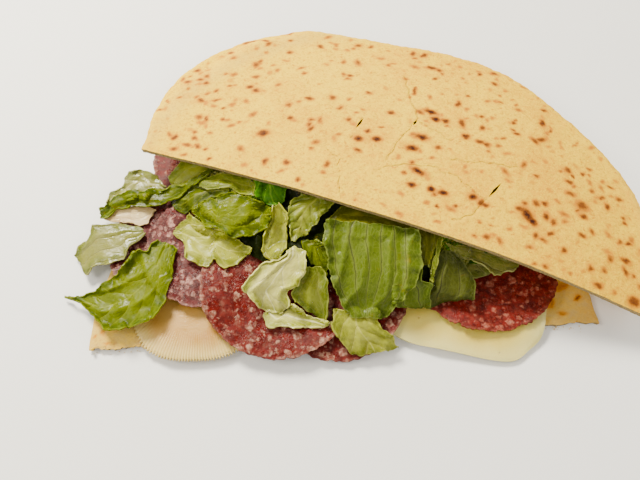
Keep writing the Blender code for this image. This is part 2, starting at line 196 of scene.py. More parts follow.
# Distance from a crease that stands for none
NO_CREASE = 9.0
CRISP_EDGE = math.radians(50)
CREAM = (236, 192, 2)
TAN = (220, 159, 2)
FLOURY = (244, 212, 26)
# Tan for toasting, which on the lower half also stands for painted shade under the upper half
TOAST_AND_SHADE_TAN = (196, 164, 98)
GRAIN_SHADE = (186, 138, 20)
# The cut side's crumb, painted darker as shade, since it faces away from the light; painted darker still in
# its holes
CRUMB = (126, 104, 60)
CRUMB_PALE = (168, 146, 94)
CRUMB_HOLE_SHADE = (92, 68, 30)
SPOT_HALO = (194, 124, 14)
SPOT_MIDDLE = (118, 64, 16)
SPOT_DARK = (50, 22, 12)
CREASE_SHADE = (132, 84, 34)
# Small spots: half the field they are drawn over, their gap, half width, length by width, and headings
SPOT_FIELD = 175
SPOT_APART = 1.2
SPOT_WIDTH = (0.8, 1.7)
SPOT_SHAPE = (1.0, 2.0)
SPOT_HEADING = (10, 50)
LOWER_SPOTS = 110
# How much of that tan the lower half gets: partly toasting, partly painted shade under the upper half and the
# filling
LOWER_TOAST_AND_SHADE = 0.9
# Larger scorched spots: place, half length, half width, heading, depth
LOWER_SCORCH = ((124, -38, 5, 2.2, 20, 0.4), (116, -48, 3.0, 1.5, 50, 0.45), (131, -30, 4, 1.6, 60, 0.4),
                (121, -54, 2.4, 1.3, 0, 0.5), (108, -56, 2.2, 1.2, 20, 0.3), (-133, -50, 1.2, 4, 10, 0.3),
                (-130, -57, 2.5, 1.0, 0, 0.3), (-126, -50, 1.6, 1.4, 40, 0.2))


def stretch(tree, value, low, high, to_low=0.0, to_high=1.0):
    """Smooth step from low to high."""
    return add(tree, "MapRange", {"interpolation_type": "SMOOTHSTEP"},
               {"Value": value, "From Min": low, "From Max": high, "To Min": to_low,
                "To Max": to_high}).outputs["Result"]


def sums(tree, operation, first, second, clamp=False):
    """One sum of two values."""
    return add(tree, "Math", {"operation": operation, "use_clamp": clamp}, {0: first, 1: second}).outputs[0]


def times(tree, first, second, clamp=False):
    """Product of two values."""
    return sums(tree, "MULTIPLY", first, second, clamp)


def plus(tree, first, second, clamp=False):
    """Total of two values."""
    return sums(tree, "ADD", first, second, clamp)


def bump(tree, shader, height, depth):
    """Relief in the shading; depth is in millimetres."""
    node = add(tree, "Bump", None, {"Height": height, "Strength": 1.0, "Distance": depth * MM})
    tree.links.new(node.outputs["Normal"], shader.inputs["Normal"])


def grid(name, across, along):
    """A new grid from -1 to 1, with its points' two coordinates as rows and columns."""
    bpy.ops.object.select_all(action="DESELECT")
    bpy.ops.mesh.primitive_grid_add(x_subdivisions=across, y_subdivisions=along, size=2)
    piece = bpy.context.object
    piece.name = name
    flat = np.empty(len(piece.data.vertices) * 3)
    piece.data.vertices.foreach_get("co", flat)
    points = flat.reshape(along + 1, across + 1, 3)
    return piece, points[..., 0], points[..., 1]


def shape(piece, x, y, z):
    """Put a grid's points at places in millimetres."""
    points = np.stack([x, y, z], axis=-1).reshape(-1) * MM
    piece.data.vertices.foreach_set("co", points)
    piece.data.update()


def points_of(piece):
    """A piece's points in millimetres, one column each for x, y and z."""
    flat = np.empty(len(piece.data.vertices) * 3)
    piece.data.vertices.foreach_get("co", flat)
    return flat.reshape(-1, 3).T / MM


def mark(piece, name, values):
    """Keep one number for each point, for the piece's material."""
    layer = piece.data.attributes.new(name, "FLOAT", "POINT")
    layer.data.foreach_set("value", np.ascontiguousarray(values, dtype=np.float32).reshape(-1))


def marked(tree, name):
    """Read such a number in a material."""
    return add(tree, "Attribute", {"attribute_name": name}).outputs["Fac"]


def select_only(piece):
    """Make a piece the only selected and the active one."""
    bpy.ops.object.select_all(action="DESELECT")
    piece.select_set(True)
    bpy.context.view_layer.objects.active = piece


def thicken(piece, thickness, upwards, rim_paint=0):
    """Give a sheet its thickness; the rim takes the material rim_paint places further on."""
    select_only(piece)
    solid = piece.modifiers.new("thickness", "SOLIDIFY")
    solid.thickness = thickness * MM
    solid.offset = 1.0 if upwards else -1.0
    solid.material_offset_rim = rim_paint
    bpy.ops.object.modifier_apply(modifier=solid.name)


def soften(z, rounds):
    """Even out a grid of heights: each round is a mean over the nine points around each."""
    for _ in range(rounds):
        wide = np.pad(z, 1, mode="edge")
        z = (wide[:-2, 1:-1] + wide[1:-1, 1:-1] + wide[2:, 1:-1]) / 3
        wide = np.pad(z, 1, mode="edge")
        z = (wide[1:-1, :-2] + wide[1:-1, 1:-1] + wide[1:-1, 2:]) / 3
    return z


def waves(x, y, size, seed, count=7):
    """Uneven smooth relief between about -1 and 1, with bumps about size millimetres across."""
    draw = np.random.default_rng(seed)
    total = 0.0
    for _ in range(count):
        heading, shift = draw.uniform(0, 2 * math.pi, 2)
        pitch = size * draw.uniform(0.7, 1.5)
        phase = 2 * math.pi * (x * math.cos(heading) + y * math.sin(heading)) / pitch
        total = total + np.sin(phase + shift)
    return total / math.sqrt(2 * count)


def ripples(at, size, seed):
    """The same along one line."""
    return waves(at, 0 * at, size, seed)


def near(distance, width):
    """1 on a line, falling off smoothly with the distance from it; at width it is 0.37."""
    return np.exp(-(distance / width) ** 2)


def disc_point(a, b):
    """A square's points carried to the round disc: distance from the middle and angle."""
    x = a * np.sqrt(1 - b * b / 2)
    y = b * np.sqrt(1 - a * a / 2)
    return np.hypot(x, y), np.arctan2(y, x)


def rough_edge(at, size):
    """An uneven edge: a few sines that never line up."""
    return size * (np.sin(at * 0.31) + 0.6 * np.sin(at * 0.83 + 1.3) + 0.4 * np.sin(at * 1.9 + 0.4)) / 2


def scorch(x, y, spots, seed):
    """How baked the surface is: spots are (x, y, half length, half width, heading, depth)."""
    warped_x = x + 0.5 * waves(x, y, 4.0, seed)
    warped_y = y + 0.5 * waves(x, y, 4.0, seed + 1)
    total = np.zeros_like(x)
    for middle_x, middle_y, length, width, heading, depth in spots:
        dx, dy = warped_x - middle_x, warped_y - middle_y
        close = np.nonzero((np.abs(dx) < 4 * length) & (np.abs(dy) < 4 * length))
        turn = math.radians(heading)
        along = (dx[close] * math.cos(turn) + dy[close] * math.sin(turn)) / length
        across = (-dx[close] * math.sin(turn) + dy[close] * math.cos(turn)) / width
        reach = along ** 2 + across ** 2
        value = depth * (0.7 * np.exp(-reach ** 1.3) + 0.3 * np.exp(-reach / 5))
        total[close] = np.maximum(total[close], value) + 0.25 * np.minimum(total[close], value)
    return total


def random_spots(count, inside, keep_off, seed):
    """Small scorched spots at random places, where inside gives the chance, apart from the larger ones."""
    draw = np.random.default_rng(seed)
    spots = []
    while len(spots) < count:
        x, y = draw.uniform(-SPOT_FIELD, SPOT_FIELD), draw.uniform(-SPOT_FIELD, SPOT_FIELD)
        if inside(x, y) < draw.uniform(0, 1):
            continue
        if any(math.hypot(x - spot[0], y - spot[1]) < SPOT_APART + spot[2] for spot in (*keep_off, *spots)):
            continue
        width = draw.uniform(*SPOT_WIDTH)
        length = width * draw.uniform(*SPOT_SHAPE)
        heading = draw.normal(*SPOT_HEADING)
        spots.append((x, y, length, width, heading, 0.25 + 0.6 * draw.uniform(0, 1) ** 1.2))
    return spots


def bread_paint():
    """Baked skin: cream to tan, a floury grain, and by the piece's numbers scorched spots and a tan for toast
    and painted shade.
    """
    material, tree, shader = new_material("bread_skin", 0.8)
    shader.inputs["Specular IOR Level"].default_value = 0.1
    place = millimetres(tree)
    wide = noise(tree, place, 0.028, 4.0, 0.6, 0.4)
    middling = noise(tree, place, 0.22, 5.0, 0.65)
    fine = noise(tree, place, 1.1, 5.0, 0.7)
    across = add(tree, "SeparateXYZ", None, {"Vector": place}).outputs["X"]
    share = plus(tree, stretch(tree, wide, 0.35, 0.72, -0.1, 0.6), stretch(tree, across, -120, 200, 0.0, 0.6))
    share = plus(tree, share, stretch(tree, middling, 0.4, 0.75, -0.3, 0.5), True)
    skin = blend(tree, share, CREAM, TAN)
    skin = blend(tree, stretch(tree, fine, 0.46, 0.68, 0.0, 0.75), skin, FLOURY)
    grain = noise(tree, place, 0.62, 5.0, 0.75)
    skin = blend(tree, stretch(tree, grain, 0.32, 0.52, 0.8, 0.0), skin, GRAIN_SHADE)
    freckles = stretch(tree, noise(tree, place, 0.36, 3.0, 0.6, 0.3), 0.58, 0.71, 0.0, 0.75)
    skin = blend(tree, freckles, skin, SPOT_HALO)
    # A further tan by the piece's numbers: toasting, and on the lower half painted shade too
    toasted = times(tree, marked(tree, "toasted"), stretch(tree, middling, 0.2, 0.7, 1.1, 0.5))
    skin = blend(tree, toasted, skin, TOAST_AND_SHADE_TAN)
    uneven = sums(tree, "SUBTRACT", noise(tree, place, 0.75, 4.0, 0.65), 0.5)
    baked = marked(tree, "scorch")
    bitten = plus(tree, baked, times(tree, times(tree, uneven, 0.9), baked))
    warm = blend(tree, stretch(tree, bitten, 0.04, 0.36), skin, SPOT_HALO)
    brown = blend(tree, stretch(tree, bitten, 0.28, 0.66), warm, SPOT_MIDDLE)
    dark = blend(tree, stretch(tree, bitten, 0.62, 1.0), brown, SPOT_DARK)
    # Painted shade along the creases
    crack = stretch(tree, marked(tree, "crease"), 0.15, 0.75, 1.0, 0.0)
    crease_shaded = blend(tree, times(tree, crack, 0.24), dark, CREASE_SHADE)
    tree.links.new(crease_shaded, shader.inputs["Base Color"])
    tree.links.new(stretch(tree, bitten, 0.2, 0.9, 0.85, 0.62), shader.inputs["Roughness"])
    relief = plus(tree, times(tree, grain, 0.6), times(tree, middling, 0.9))
    relief = sums(tree, "SUBTRACT", relief, times(tree, crack, 0.8))
    bump(tree, shader, relief, 0.45)
    return material


def crumb_paint():
    """The cut side: pale open crumb with small holes, painted darker than the skin as shade on a side facing
    away from the light.
    """
    material, tree, shader = new_material("bread_crumb", 0.9)
    place = millimetres(tree)
    holes = add(tree, "TexVoronoi", {"feature": "F1"}, {"Vector": place, "Scale": 1.1}).outputs["Distance"]
    fine = noise(tree, place, 1.6, 5.0, 0.7)
    pale = blend(tree, stretch(tree, fine, 0.35, 0.7), CRUMB, CRUMB_PALE)
    # Painted shade in the crumb's holes
    deep = blend(tree, stretch(tree, holes, 0.12, 0.35, 1.0, 0.0), pale, CRUMB_HOLE_SHADE)
    tree.links.new(deep, shader.inputs["Base Color"])
    bump(tree, shader, plus(tree, holes, fine), 0.6)
    return material


def finish_piece(piece, slot, *nodes):
    """Smooth shading with crisp rims; the piece rides on the one body and stands for its nodes."""
    select_only(piece)
    bpy.ops.object.shade_smooth_by_angle(angle=CRISP_EDGE)
    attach(piece, "root")
    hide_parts(*nodes)


def in_lower(x, y):
    """Chance of a spot at a place of the lower half: the same all over it."""
    return float(y > LOWER_CUT_Y and math.hypot(x, y - LOWER_CUT_Y) < LOWER_RADIUS)


bread_skin = bread_paint()
bread_crumb = crumb_paint()
lower, a, b = grid("bread_lower_half", *LOWER_CELLS)
rho, angle = disc_point(a, (b + 1) / 2)
lower_reach = LOWER_RADIUS + 0.4 * ripples(angle * LOWER_RADIUS, 14.0, 3)
x, y = rho * lower_reach * np.cos(angle), rho * LOWER_RADIUS * np.sin(angle)
at_cut = near(y, CUT_BAND)
y = y + at_cut * (rough_edge(x, LOWER_RAGGED) + 0.35 * waves(x, y, 2.2, 4))
z = BREAD - SLIM + 0.12 * waves(x, y, 26.0, 5) + 0.06 * waves(x, y, 6.0, 6)
z = z - 0.5 * at_cut * (0.5 + 0.5 * ripples(x, 5.0, 7)) - RIM_DROP * near((1 - rho) * LOWER_RADIUS, RIM_BAND)
shape(lower, x, y + LOWER_CUT_Y, z)
lower.data.materials.append(bread_skin)
lower.data.materials.append(bread_crumb)
thicken(lower, BREAD - OFF_FLOOR - SLIM, False, 1)
px, py, pz = points_of(lower)
shape(lower, px, py, np.maximum(pz, 0.0))
lower_spots = [*LOWER_SCORCH, *random_spots(LOWER_SPOTS, in_lower, LOWER_SCORCH, 11)]
mark(lower, "scorch", scorch(px, py, lower_spots, 12))
mark(lower, "crease", np.full(px.shape, NO_CREASE))
# The lower half is painted tanner all over: partly toasting, partly painted shade under the upper half
mark(lower, "toasted", np.full(px.shape, LOWER_TOAST_AND_SHADE))
finish_piece(lower, "bread", "bread_bottom")


# Cheese: two slices of a mild pale cheese 1.8 mm thick. The left one was cut with a fluted blade, which
# left fine ripples and teeth along its front edge; the right one is smooth, lacks a corner, and droops over
# the cut edge of the bread.
CHEESE = 1.8
# Middle, half sizes, turn in degrees, squareness, cells of the mesh, kind
CHEESE_SLICES = {
    # Partly painted shade: the left slice takes the darker colours, for the shade of the salami and leaf over
    # it
    "cheese_left": ((-81, -19), (38, 51), 0, 2.7, (200, 200), "ripe"),
    "cheese_right": ((70, -31), (46, 44), -16, 4.2, (100, 100), "pale"),
}
# Cream, yellow clouds, rim; the left slice's darker cream and clouds are partly its own colour, partly
# painted shade from the salami and leaf over it
CHEESE_COLOURS = {
    "ripe": ((184, 140, 62), (166, 112, 30), (212, 188, 110)),
    "pale": ((206, 186, 88), (202, 176, 64), (214, 204, 128)),
}
# Pitch and depth of the teeth in the outline, and depth of the flutes in the face
TOOTH = 1.8
TOOTH_DEPTH = 1.7
FLUTE_DEPTH = 0.34
# The fluted stretch, from and to these angles in degrees, fading out over some more, and its width inwards
FLUTED = (-150.0, -28.0)
FLUTED_FADE = 8
FLUTED_BAND = 13.0
# Angle, spread and depth, as a share of the reach, of the corner that is missing from the right slice
CUT_CORNER = (-42.0, 9.0, 0.05)
CHEESE_GRAIN = (170, 128, 56)
# Painted shade in the cheese's small pits
CHEESE_PIT_SHADE = (128, 86, 34)
# Where the height under a point is looked for: at its own place, and then nearer to the piece's middle
PULLS = (1.0, 0.985, 0.97, 0.94, 0.9)


def skin_of(node):
    """Search tree over a solid's faces, in millimetres."""
    mesh = frame["nodes"][node].data
    corners = [vertex.co / MM for vertex in mesh.vertices]
    return BVHTree.FromPolygons(corners, [polygon.vertices[:] for polygon in mesh.polygons])


def laid_on(node, x, y, middle):
    """Height of the solid's top at plan points; a point past its edge takes the height just inside."""
    tree = skin_of(node)
    down = Vector((0, 0, -1))
    z = np.zeros(x.shape)
    for spot in np.ndindex(x.shape):
        for pull in PULLS:
            start = (middle[0] + (x[spot] - middle[0]) * pull, middle[1] + (y[spot] - middle[1]) * pull, 99)
            hit = tree.ray_cast(Vector(start), down)[0]
            if hit is not None:
                break
        z[spot] = hit.z if hit is not None else BREAD
    return z


def plan_point(middle, turn, u, v):
    """Plan point from a piece's own two axes, which are turned about its middle."""
    return (middle[0] + u * math.cos(turn) - v * math.sin(turn),
            middle[1] + u * math.sin(turn) + v * math.cos(turn))


def rounded(a, b, middle, half, turn, power, uneven):
    """A square's points carried into a rounded outline; uneven changes the reach at each angle."""
    rho, angle = disc_point(a, b)
    c, s = np.cos(angle), np.sin(angle)
    reach = (np.abs(c) ** power + np.abs(s) ** power) ** (-1 / power) * (1 + uneven(rho, angle))
    x, y = rho * reach * half[0] * c, rho * reach * half[1] * s
    return (*plan_point(middle, turn, x, y), rho, angle)


def new_group(name, inputs, outputs):
    """A shader node group with named sockets of some kinds, its input node and its output node."""
    tree = bpy.data.node_groups.new(name, "ShaderNodeTree")
    for way, sockets in (("INPUT", inputs), ("OUTPUT", outputs)):
        for socket, kind in sockets.items():
            tree.interface.new_socket(socket, in_out=way, socket_type="NodeSocket" + kind)
    return tree, tree.nodes.new("NodeGroupInput"), tree.nodes.new("NodeGroupOutput")


def wet_group():
    """Thin wetness: patches that shine more, and fine beads of moisture as relief."""
    tree, into, out = new_group("wet_skin", {"Vector": "Vector", "Beads": "Float"},
                                {"Roughness": "Float", "Height": "Float"})
    place = into.outputs["Vector"]
    patches = noise(tree, place, 0.12, 4.0, 0.6)
    beads = add(tree, "TexVoronoi", {"feature": "F1"}, {"Vector": place, "Scale": 0.75}).outputs["Distance"]
    drops = stretch(tree, beads, 0.05, 0.3, 1.0, 0.0)
    drops = times(tree, drops, stretch(tree, patches, 0.42, 0.6))
    drops = times(tree, drops, into.outputs["Beads"])
    film = noise(tree, place, 0.9, 3.0, 0.55)
    tree.links.new(plus(tree, drops, times(tree, film, 0.4)), out.inputs["Height"])
    rough = stretch(tree, patches, 0.35, 0.62, 0.46, 0.2)
    rough = sums(tree, "SUBTRACT", rough, times(tree, stretch(tree, drops, 0.05, 0.4), 0.3))
    rough = sums(tree, "MAXIMUM", rough, 0.1)
    tree.links.new(rough, out.inputs["Roughness"])
    return tree


wet_skin = wet_group()


def wetness(tree, vector, beads):
    """The wetness group in a material: its roughness and its relief."""
    node = add(tree, "Group", {"node_tree": wet_skin}, {"Vector": vector, "Beads": beads})
    return node.outputs["Roughness"], node.outputs["Height"]


def lit_through(shader, weight, depth, colours):
    """Light that spreads under the surface; depth is in millimetres, and colours are shares of it."""
    shader.inputs["Subsurface Weight"].default_value = weight
    shader.inputs["Subsurface Scale"].default_value = depth * MM
    shader.inputs["Subsurface Radius"].default_value = colours


def cheese_paint(name, cream, yellow, rim):
    """Smooth fatty cheese: cream with yellow clouds, paler to its thin edge; on the left slice partly painted
    shade.
    """
    material, tree, shader = new_material("cheese_" + name, 0.4)
    place = millimetres(tree)
    clouds = noise(tree, place, 0.035, 3.0, 0.5, 0.3)
    fine = noise(tree, place, 0.7, 4.0, 0.6)
    body = blend(tree, stretch(tree, clouds, 0.4, 0.68), cream, yellow)
    edge = stretch(tree, marked(tree, "margin"), 0.0, 11.0, 0.85, 0.0)
    body = blend(tree, edge, body, rim)
    body = blend(tree, stretch(tree, fine, 0.55, 0.8, 0.0, 0.25), body, CHEESE_GRAIN)
    pits = add(tree, "TexVoronoi", {"feature": "F1"}, {"Vector": place, "Scale": 0.085}).outputs["Distance"]
    pit = stretch(tree, pits, 0.03, 0.075, 1.0, 0.0)
    # Painted shade in the small pits
    body = blend(tree, times(tree, pit, 0.4), body, CHEESE_PIT_SHADE)
    rough, height = wetness(tree, place, 0.1)
    tree.links.new(body, shader.inputs["Base Color"])
    tree.links.new(plus(tree, rough, 0.08), shader.inputs["Roughness"])
    lit_through(shader, 0.25, 3.0, (1.0, 0.7, 0.35))
    relief = sums(tree, "SUBTRACT", plus(tree, height, times(tree, fine, 0.3)), pit)
    bump(tree, shader, relief, 0.22)
    return material


def fluting(angle, half):
    """How far each angle lies within the fluted stretch, and the height of the flutes there, both 0 to 1."""
    front = np.degrees(angle)
    within = np.clip(np.minimum(front - FLUTED[0], FLUTED[1] - front) / FLUTED_FADE, 0, 1)
    arc = angle * (half[0] + half[1]) / 2
    return within, np.abs(np.sin(math.pi * arc / TOOTH))


cheese_skins = {name: cheese_paint(name, *colours) for name, colours in CHEESE_COLOURS.items()}
for name, (middle, half, degrees, power, cells, kind) in CHEESE_SLICES.items():
    fluted = name == "cheese_left"

    def uneven(rho, angle):
        """A slightly uneven outline, with teeth along the fluted front."""
        edge = 0.012 * ripples(angle * 30, 30.0, 21 if fluted else 22)
        if not fluted:
            return edge - CUT_CORNER[2] * near(np.degrees(angle) - CUT_CORNER[0], CUT_CORNER[1]) * rho ** 4
        within, flute = fluting(angle, half)
        return edge + within * near((1 - rho) * half[1], 1.3) * (0.5 - flute) * TOOTH_DEPTH / half[1]

    piece, a, b = grid("slice_" + name, *cells)
    x, y, rho, angle = rounded(a, b, middle, half, math.radians(degrees), power, uneven)
    z = soften(laid_on(name, x, y, middle), 18)
    margin = (1 - rho) * min(half)
    if fluted:
        within, flute = fluting(angle, half)
        z = z - FLUTE_DEPTH * within * np.clip(1 - margin / FLUTED_BAND, 0, 1) ** 0.5 * flute
    z = z + 0.1 * waves(x, y, 18.0, 23) - 0.35 * near(margin, 1.0)
    shape(piece, x, y, z)
    mark(piece, "margin", margin)
    piece.data.materials.append(cheese_skins[kind])
    thicken(piece, CHEESE - SLIM, False)
    finish_piece(piece, "cheese", name)


# Salami: seven thin slices of a coarse pork sausage, brick red lean with pale fat in irregular pieces. The
# slices bend over what they lie on; their skin is gone, so the rims are a little ragged.
SALAMI = 1.5
SALAMI_CELLS = 84
# Middle, half sizes, turn in degrees, kind; from the lowest to the highest
SALAMI_SLICES = {
    "salami_middle": ((-10, 12), (40, 38), 20, "red"),
    "salami_back_left": ((-72, 60), (39, 37), 0, "red"),
    "salami_left": ((-96, 2), (38, 33), 35, "purple"),
    "salami_right": ((80, -24), (43, 40), -10, "bright"),
    "salami_front_right": ((-3, -35), (40, 39), 60, "red"),
    "salami_front_left": ((-80, -8), (31, 34), 15, "purple"),
    "salami_front": ((-38, -33), (42, 39), -30, "red"),
}
# Lean meat, deep lean, fat, pale fat; the purple kind's greyish tint is partly the meat's own tone, partly
# painted sheen of its moist surface
SALAMI_COLOURS = {
    "red": ((100, 18, 9), (72, 10, 5), (128, 74, 58), (178, 138, 114)),
    "bright": ((110, 22, 12), (70, 9, 4), (140, 64, 46), (166, 106, 84)),
    # Partly painted sheen: the moist surface's reflection, painted into these greyer purple colours
    "purple": ((90, 28, 26), (58, 14, 13), (146, 96, 86), (184, 140, 124)),
}
# Size of the fat pieces, where their edge starts and ends, share of the cells without one, how clear they are
FAT_PIECES = ((6.4, 0.3, 0.44, 0.56, 1.0), (3.4, 0.26, 0.48, 0.54, 0.8), (1.8, 0.2, 0.5, 0.6, 0.42))
FAT_WARP = 4.2


def fat_cells(tree, vector, size, low, high, kept):
    """Mask of fat pieces about size millimetres across; kept is the share of cells without one."""
    cells = add(tree, "TexVoronoi", {"feature": "F1"}, {"Vector": vector, "Scale": 1 / size})
    chosen = add(tree, "SeparateColor", None, {"Color": cells.outputs["Color"]}).outputs["Red"]
    mask = stretch(tree, cells.outputs["Distance"], low, high, 1.0, 0.0)
    return times(tree, mask, stretch(tree, chosen, kept, kept + 0.08))


def salami_paint(name, lean, deep, fat, pale_fat):
    """Lean meat with fat in three sizes; the fat stands up a little, and the whole is moist."""
    material, tree, shader = new_material("salami_" + name, 0.3)
    shader.inputs["Specular IOR Level"].default_value = 0.16
    place = millimetres(tree)
    warp = add(tree, "TexNoise", None, {"Vector": place, "Scale": 0.4, "Detail": 3.0})
    shift = add(tree, "VectorMath", {"operation": "SUBTRACT"},
                {0: warp.outputs["Color"], 1: (0.5, 0.5, 0.5)})
    shift = add(tree, "VectorMath", {"operation": "SCALE"}, {0: shift.outputs["Vector"], "Scale": FAT_WARP})
    bent = add(tree, "VectorMath", {"operation": "ADD"}, {0: place, 1: shift.outputs["Vector"]})
    mask = stretch(tree, noise(tree, place, 0.16, 4.0, 0.6), 0.5, 0.7, 0.0, 0.22)
    for *cells, clear in FAT_PIECES:
        pieces = fat_cells(tree, bent.outputs["Vector"], *cells)
        mask = sums(tree, "MAXIMUM", mask, times(tree, pieces, clear))
    mask = times(tree, mask, stretch(tree, noise(tree, place, 0.6, 4.0, 0.7), 0.3, 0.6, 0.55, 1.0))
    rim = stretch(tree, marked(tree, "margin"), 0.3, 2.0, 1.0, 0.0)
    rim = times(tree, rim, stretch(tree, noise(tree, place, 0.12, 3.0), 0.4, 0.6, 0.0, 0.5))
    mask = sums(tree, "MAXIMUM", mask, rim)
    meat = blend(tree, stretch(tree, noise(tree, place, 0.3, 5.0, 0.65), 0.35, 0.65), deep, lean)
    tint = blend(tree, stretch(tree, noise(tree, place, 0.5, 3.0), 0.4, 0.65), fat, pale_fat)
    tree.links.new(blend(tree, times(tree, mask, 0.92), meat, tint), shader.inputs["Base Color"])
    rough, height = wetness(tree, place, 0.8)
    tree.links.new(rough, shader.inputs["Roughness"])
    lit_through(shader, 0.12, 2.0, (1.0, 0.35, 0.25))
    grain = noise(tree, place, 1.3, 4.0, 0.7)
    relief = plus(tree, times(tree, mask, 0.5), times(tree, grain, 0.7))
    bump(tree, shader, plus(tree, relief, times(tree, height, 0.6)), 0.4)
    return material


salami_skins = {name: salami_paint(name, *colours) for name, colours in SALAMI_COLOURS.items()}
for number, (name, (middle, half, degrees, kind)) in enumerate(SALAMI_SLICES.items()):
    def ragged(rho, angle):
        """A round slice whose rim is nicked here and there."""
        arc = angle * half[0]
        nick = np.maximum(ripples(arc, 9.0, 40 + number) - 0.5, 0)
        wavy = 0.006 * ripples(arc, 40.0, 30 + number) + 0.013 * ripples(arc, 3.2, 50 + number)
        return (wavy - 0.07 * nick) * rho ** 8

    piece, a, b = grid("slice_" + name, SALAMI_CELLS, SALAMI_CELLS)
    x, y, rho, angle = rounded(a, b, middle, half, math.radians(degrees), 2.0, ragged)
    z = soften(laid_on(name, x, y, middle), 12)
    z = z + 0.16 * waves(x, y, 11.0, 60 + number) + 0.07 * waves(x, y, 3.4, 70 + number)
    shape(piece, x, y, z)
    mark(piece, "margin", (1 - rho) * half[1])
    piece.data.materials.append(salami_skins[kind])
    thicken(piece, SALAMI - SLIM, False)
    finish_piece(piece, "salami", name)


# Lettuce: torn leaves, washed and still wet. Each is a thin wavy sheet between two torn edges, folded along
# its veins, with curled rims. They lie on each other and on the salami, from the lowest to the highest.
LEAF = 0.7
LEAF_CELL = 0.65
LEAF_GAP = 0.35
# Cells in plan that keep the height of the pile, and how far they reach
PILE_CELL = 1.0
PILE_X = (-176.0, 196.0)
PILE_Y = (-98.0, 152.0)
PHOTO_SIZE = (640, 480)
# About how much of the heap a pixel of the photograph covers
MM_A_PIXEL = 0.62
# Each leaf: kind; its two edges from root to tip, as pixels of the photograph; heights of root and tip and
# rise between them; how far each rim curls up; angle of the side veins (0 where they run along) and their
# spacing; depth of the folds, swelling between the veins, frill of the rims. Heights are in millimetres.
APART_BELOW = {
    "leaf_rib": (
        "rib",
        ((155, 208), (140, 207), (123, 207), (110, 213), (104, 218)),
        ((156, 212), (147, 224), (141, 226), (125, 224), (106, 221)),
        (9, 7, 1), (1.0, 0.4), 0, 3.5, 0.5, 0.2, 0.1),
    "leaf_frill": (
        "pale",
        ((167, 186), (161, 180), (153, 175), (146, 171), (137, 168), (129, 172), (125, 179), (126, 185),
         (117, 188), (110, 193), (106, 201)),
        ((163, 192), (150, 196), (137, 197), (125, 200), (112, 206), (108, 205)),
        (13, 7, 2), (2.0, 1.0), 40, 5.0, 0.8, 0.9, 1.6),
    "leaf_pale": (
        "pale",
        ((145, 229), (130, 226), (117, 225), (103, 224), (92, 225), (92, 231), (79, 247), (75, 256)),
        ((144, 235), (140, 242), (129, 247), (126, 257), (117, 261), (98, 265), (91, 269), (87, 276),
         (81, 264)),
        (10, 2, 3), (1.0, 1.2), 0, 6.5, 0.9, 0.5, 0.6),
}
# Rim, inside, vein lines, the stretch beside a vein line, rib
LEAF_COLOURS = {
    "green": ((48, 62, 0), (84, 94, 1), (118, 126, 18), (98, 106, 5), (116, 122, 24)),
    "streaked": ((60, 74, 8), (76, 90, 16), (66, 64, 38), (106, 116, 46), (106, 114, 48)),
    # The streaked colours painted darker, as painted shade under the upper half's front edge
    "dusky": ((42, 46, 6), (56, 60, 14), (50, 48, 30), (80, 84, 36), (80, 84, 36)),
    "lime": ((76, 88, 8), (114, 120, 30), (158, 158, 72), (134, 138, 54), (152, 152, 70)),
    "olive": ((54, 56, 2), (82, 82, 6), (108, 106, 26), (86, 86, 10), (108, 106, 34)),
    "bright": ((34, 74, 0), (62, 106, 2), (100, 136, 14), (74, 114, 5), (110, 140, 26)),
    "deep": ((40, 52, 0), (70, 78, 1), (106, 110, 18), (80, 88, 3), (108, 110, 28)),
    # Painted shade: the nearly black kind for the heart of the heap, the shade deep between the leaves
    "dark": ((8, 13, 1), (18, 24, 2), (34, 38, 8), (22, 28, 3), (36, 38, 12)),
    "yellow": ((96, 102, 8), (136, 138, 42), (184, 178, 86), (152, 152, 56), (178, 174, 88)),
    "pale": ((80, 88, 18), (112, 112, 48), (96, 92, 44), (134, 132, 72), (178, 170, 118)),
    "rib": ((168, 142, 92), (196, 176, 130), (206, 190, 148), (180, 152, 108), (212, 196, 162)),
    "white": ((132, 138, 24), (182, 178, 94), (220, 214, 150), (196, 192, 112), (226, 220, 166)),
}
CLEAR_VEINS = ("streaked", "dusky")
BRUISE = (116, 88, 6)
# How strongly some kinds mirror the light, and all others
LEAF_GLOSS = {"yellow": 0.16, "pale": 0.22, "rib": 0.2, "white": 0.18, "dark": 0.03, "bright": 0.06,
              "lime": 0.12}
OTHER_GLOSS = 0.07
# Pitch of the folds; pitch and depth of the torn rim's wide and fine bites
FOLD_PITCH = 13.0
BITES = ((9.0, 0.9), (2.6, 0.3))
# Cells of the pile by which the bread's underside is sampled, and its height where there is no bread
CEILING_STEP = 2
OPEN_SKY = 99.0


class Pile:
    """The height of what lies there so far, by plan cell."""

    def __init__(self):
        self.columns = int((PILE_X[1] - PILE_X[0]) / PILE_CELL)
        self.rows = int((PILE_Y[1] - PILE_Y[0]) / PILE_CELL)
        self.top = np.zeros((self.rows, self.columns))

    def cells(self, x, y):
        """Row and column of plan points."""
        i = np.clip(((x - PILE_X[0]) / PILE_CELL).astype(int), 0, self.columns - 1)
        j = np.clip(((y - PILE_Y[0]) / PILE_CELL).astype(int), 0, self.rows - 1)
        return j, i

    def add(self, x, y, z):
        """Lay a sheet's points on it."""
        np.maximum.at(self.top, self.cells(x, y), z)

    def under(self, x, y):
        """Smoothed height below plan points."""
        wide = self.top
        for step in ((0, 1), (1, 0), (0, -1), (-1, 0)):
            wide = np.maximum(wide, np.roll(self.top, step, (0, 1)))
        return soften(wide, 1)[self.cells(x, y)]


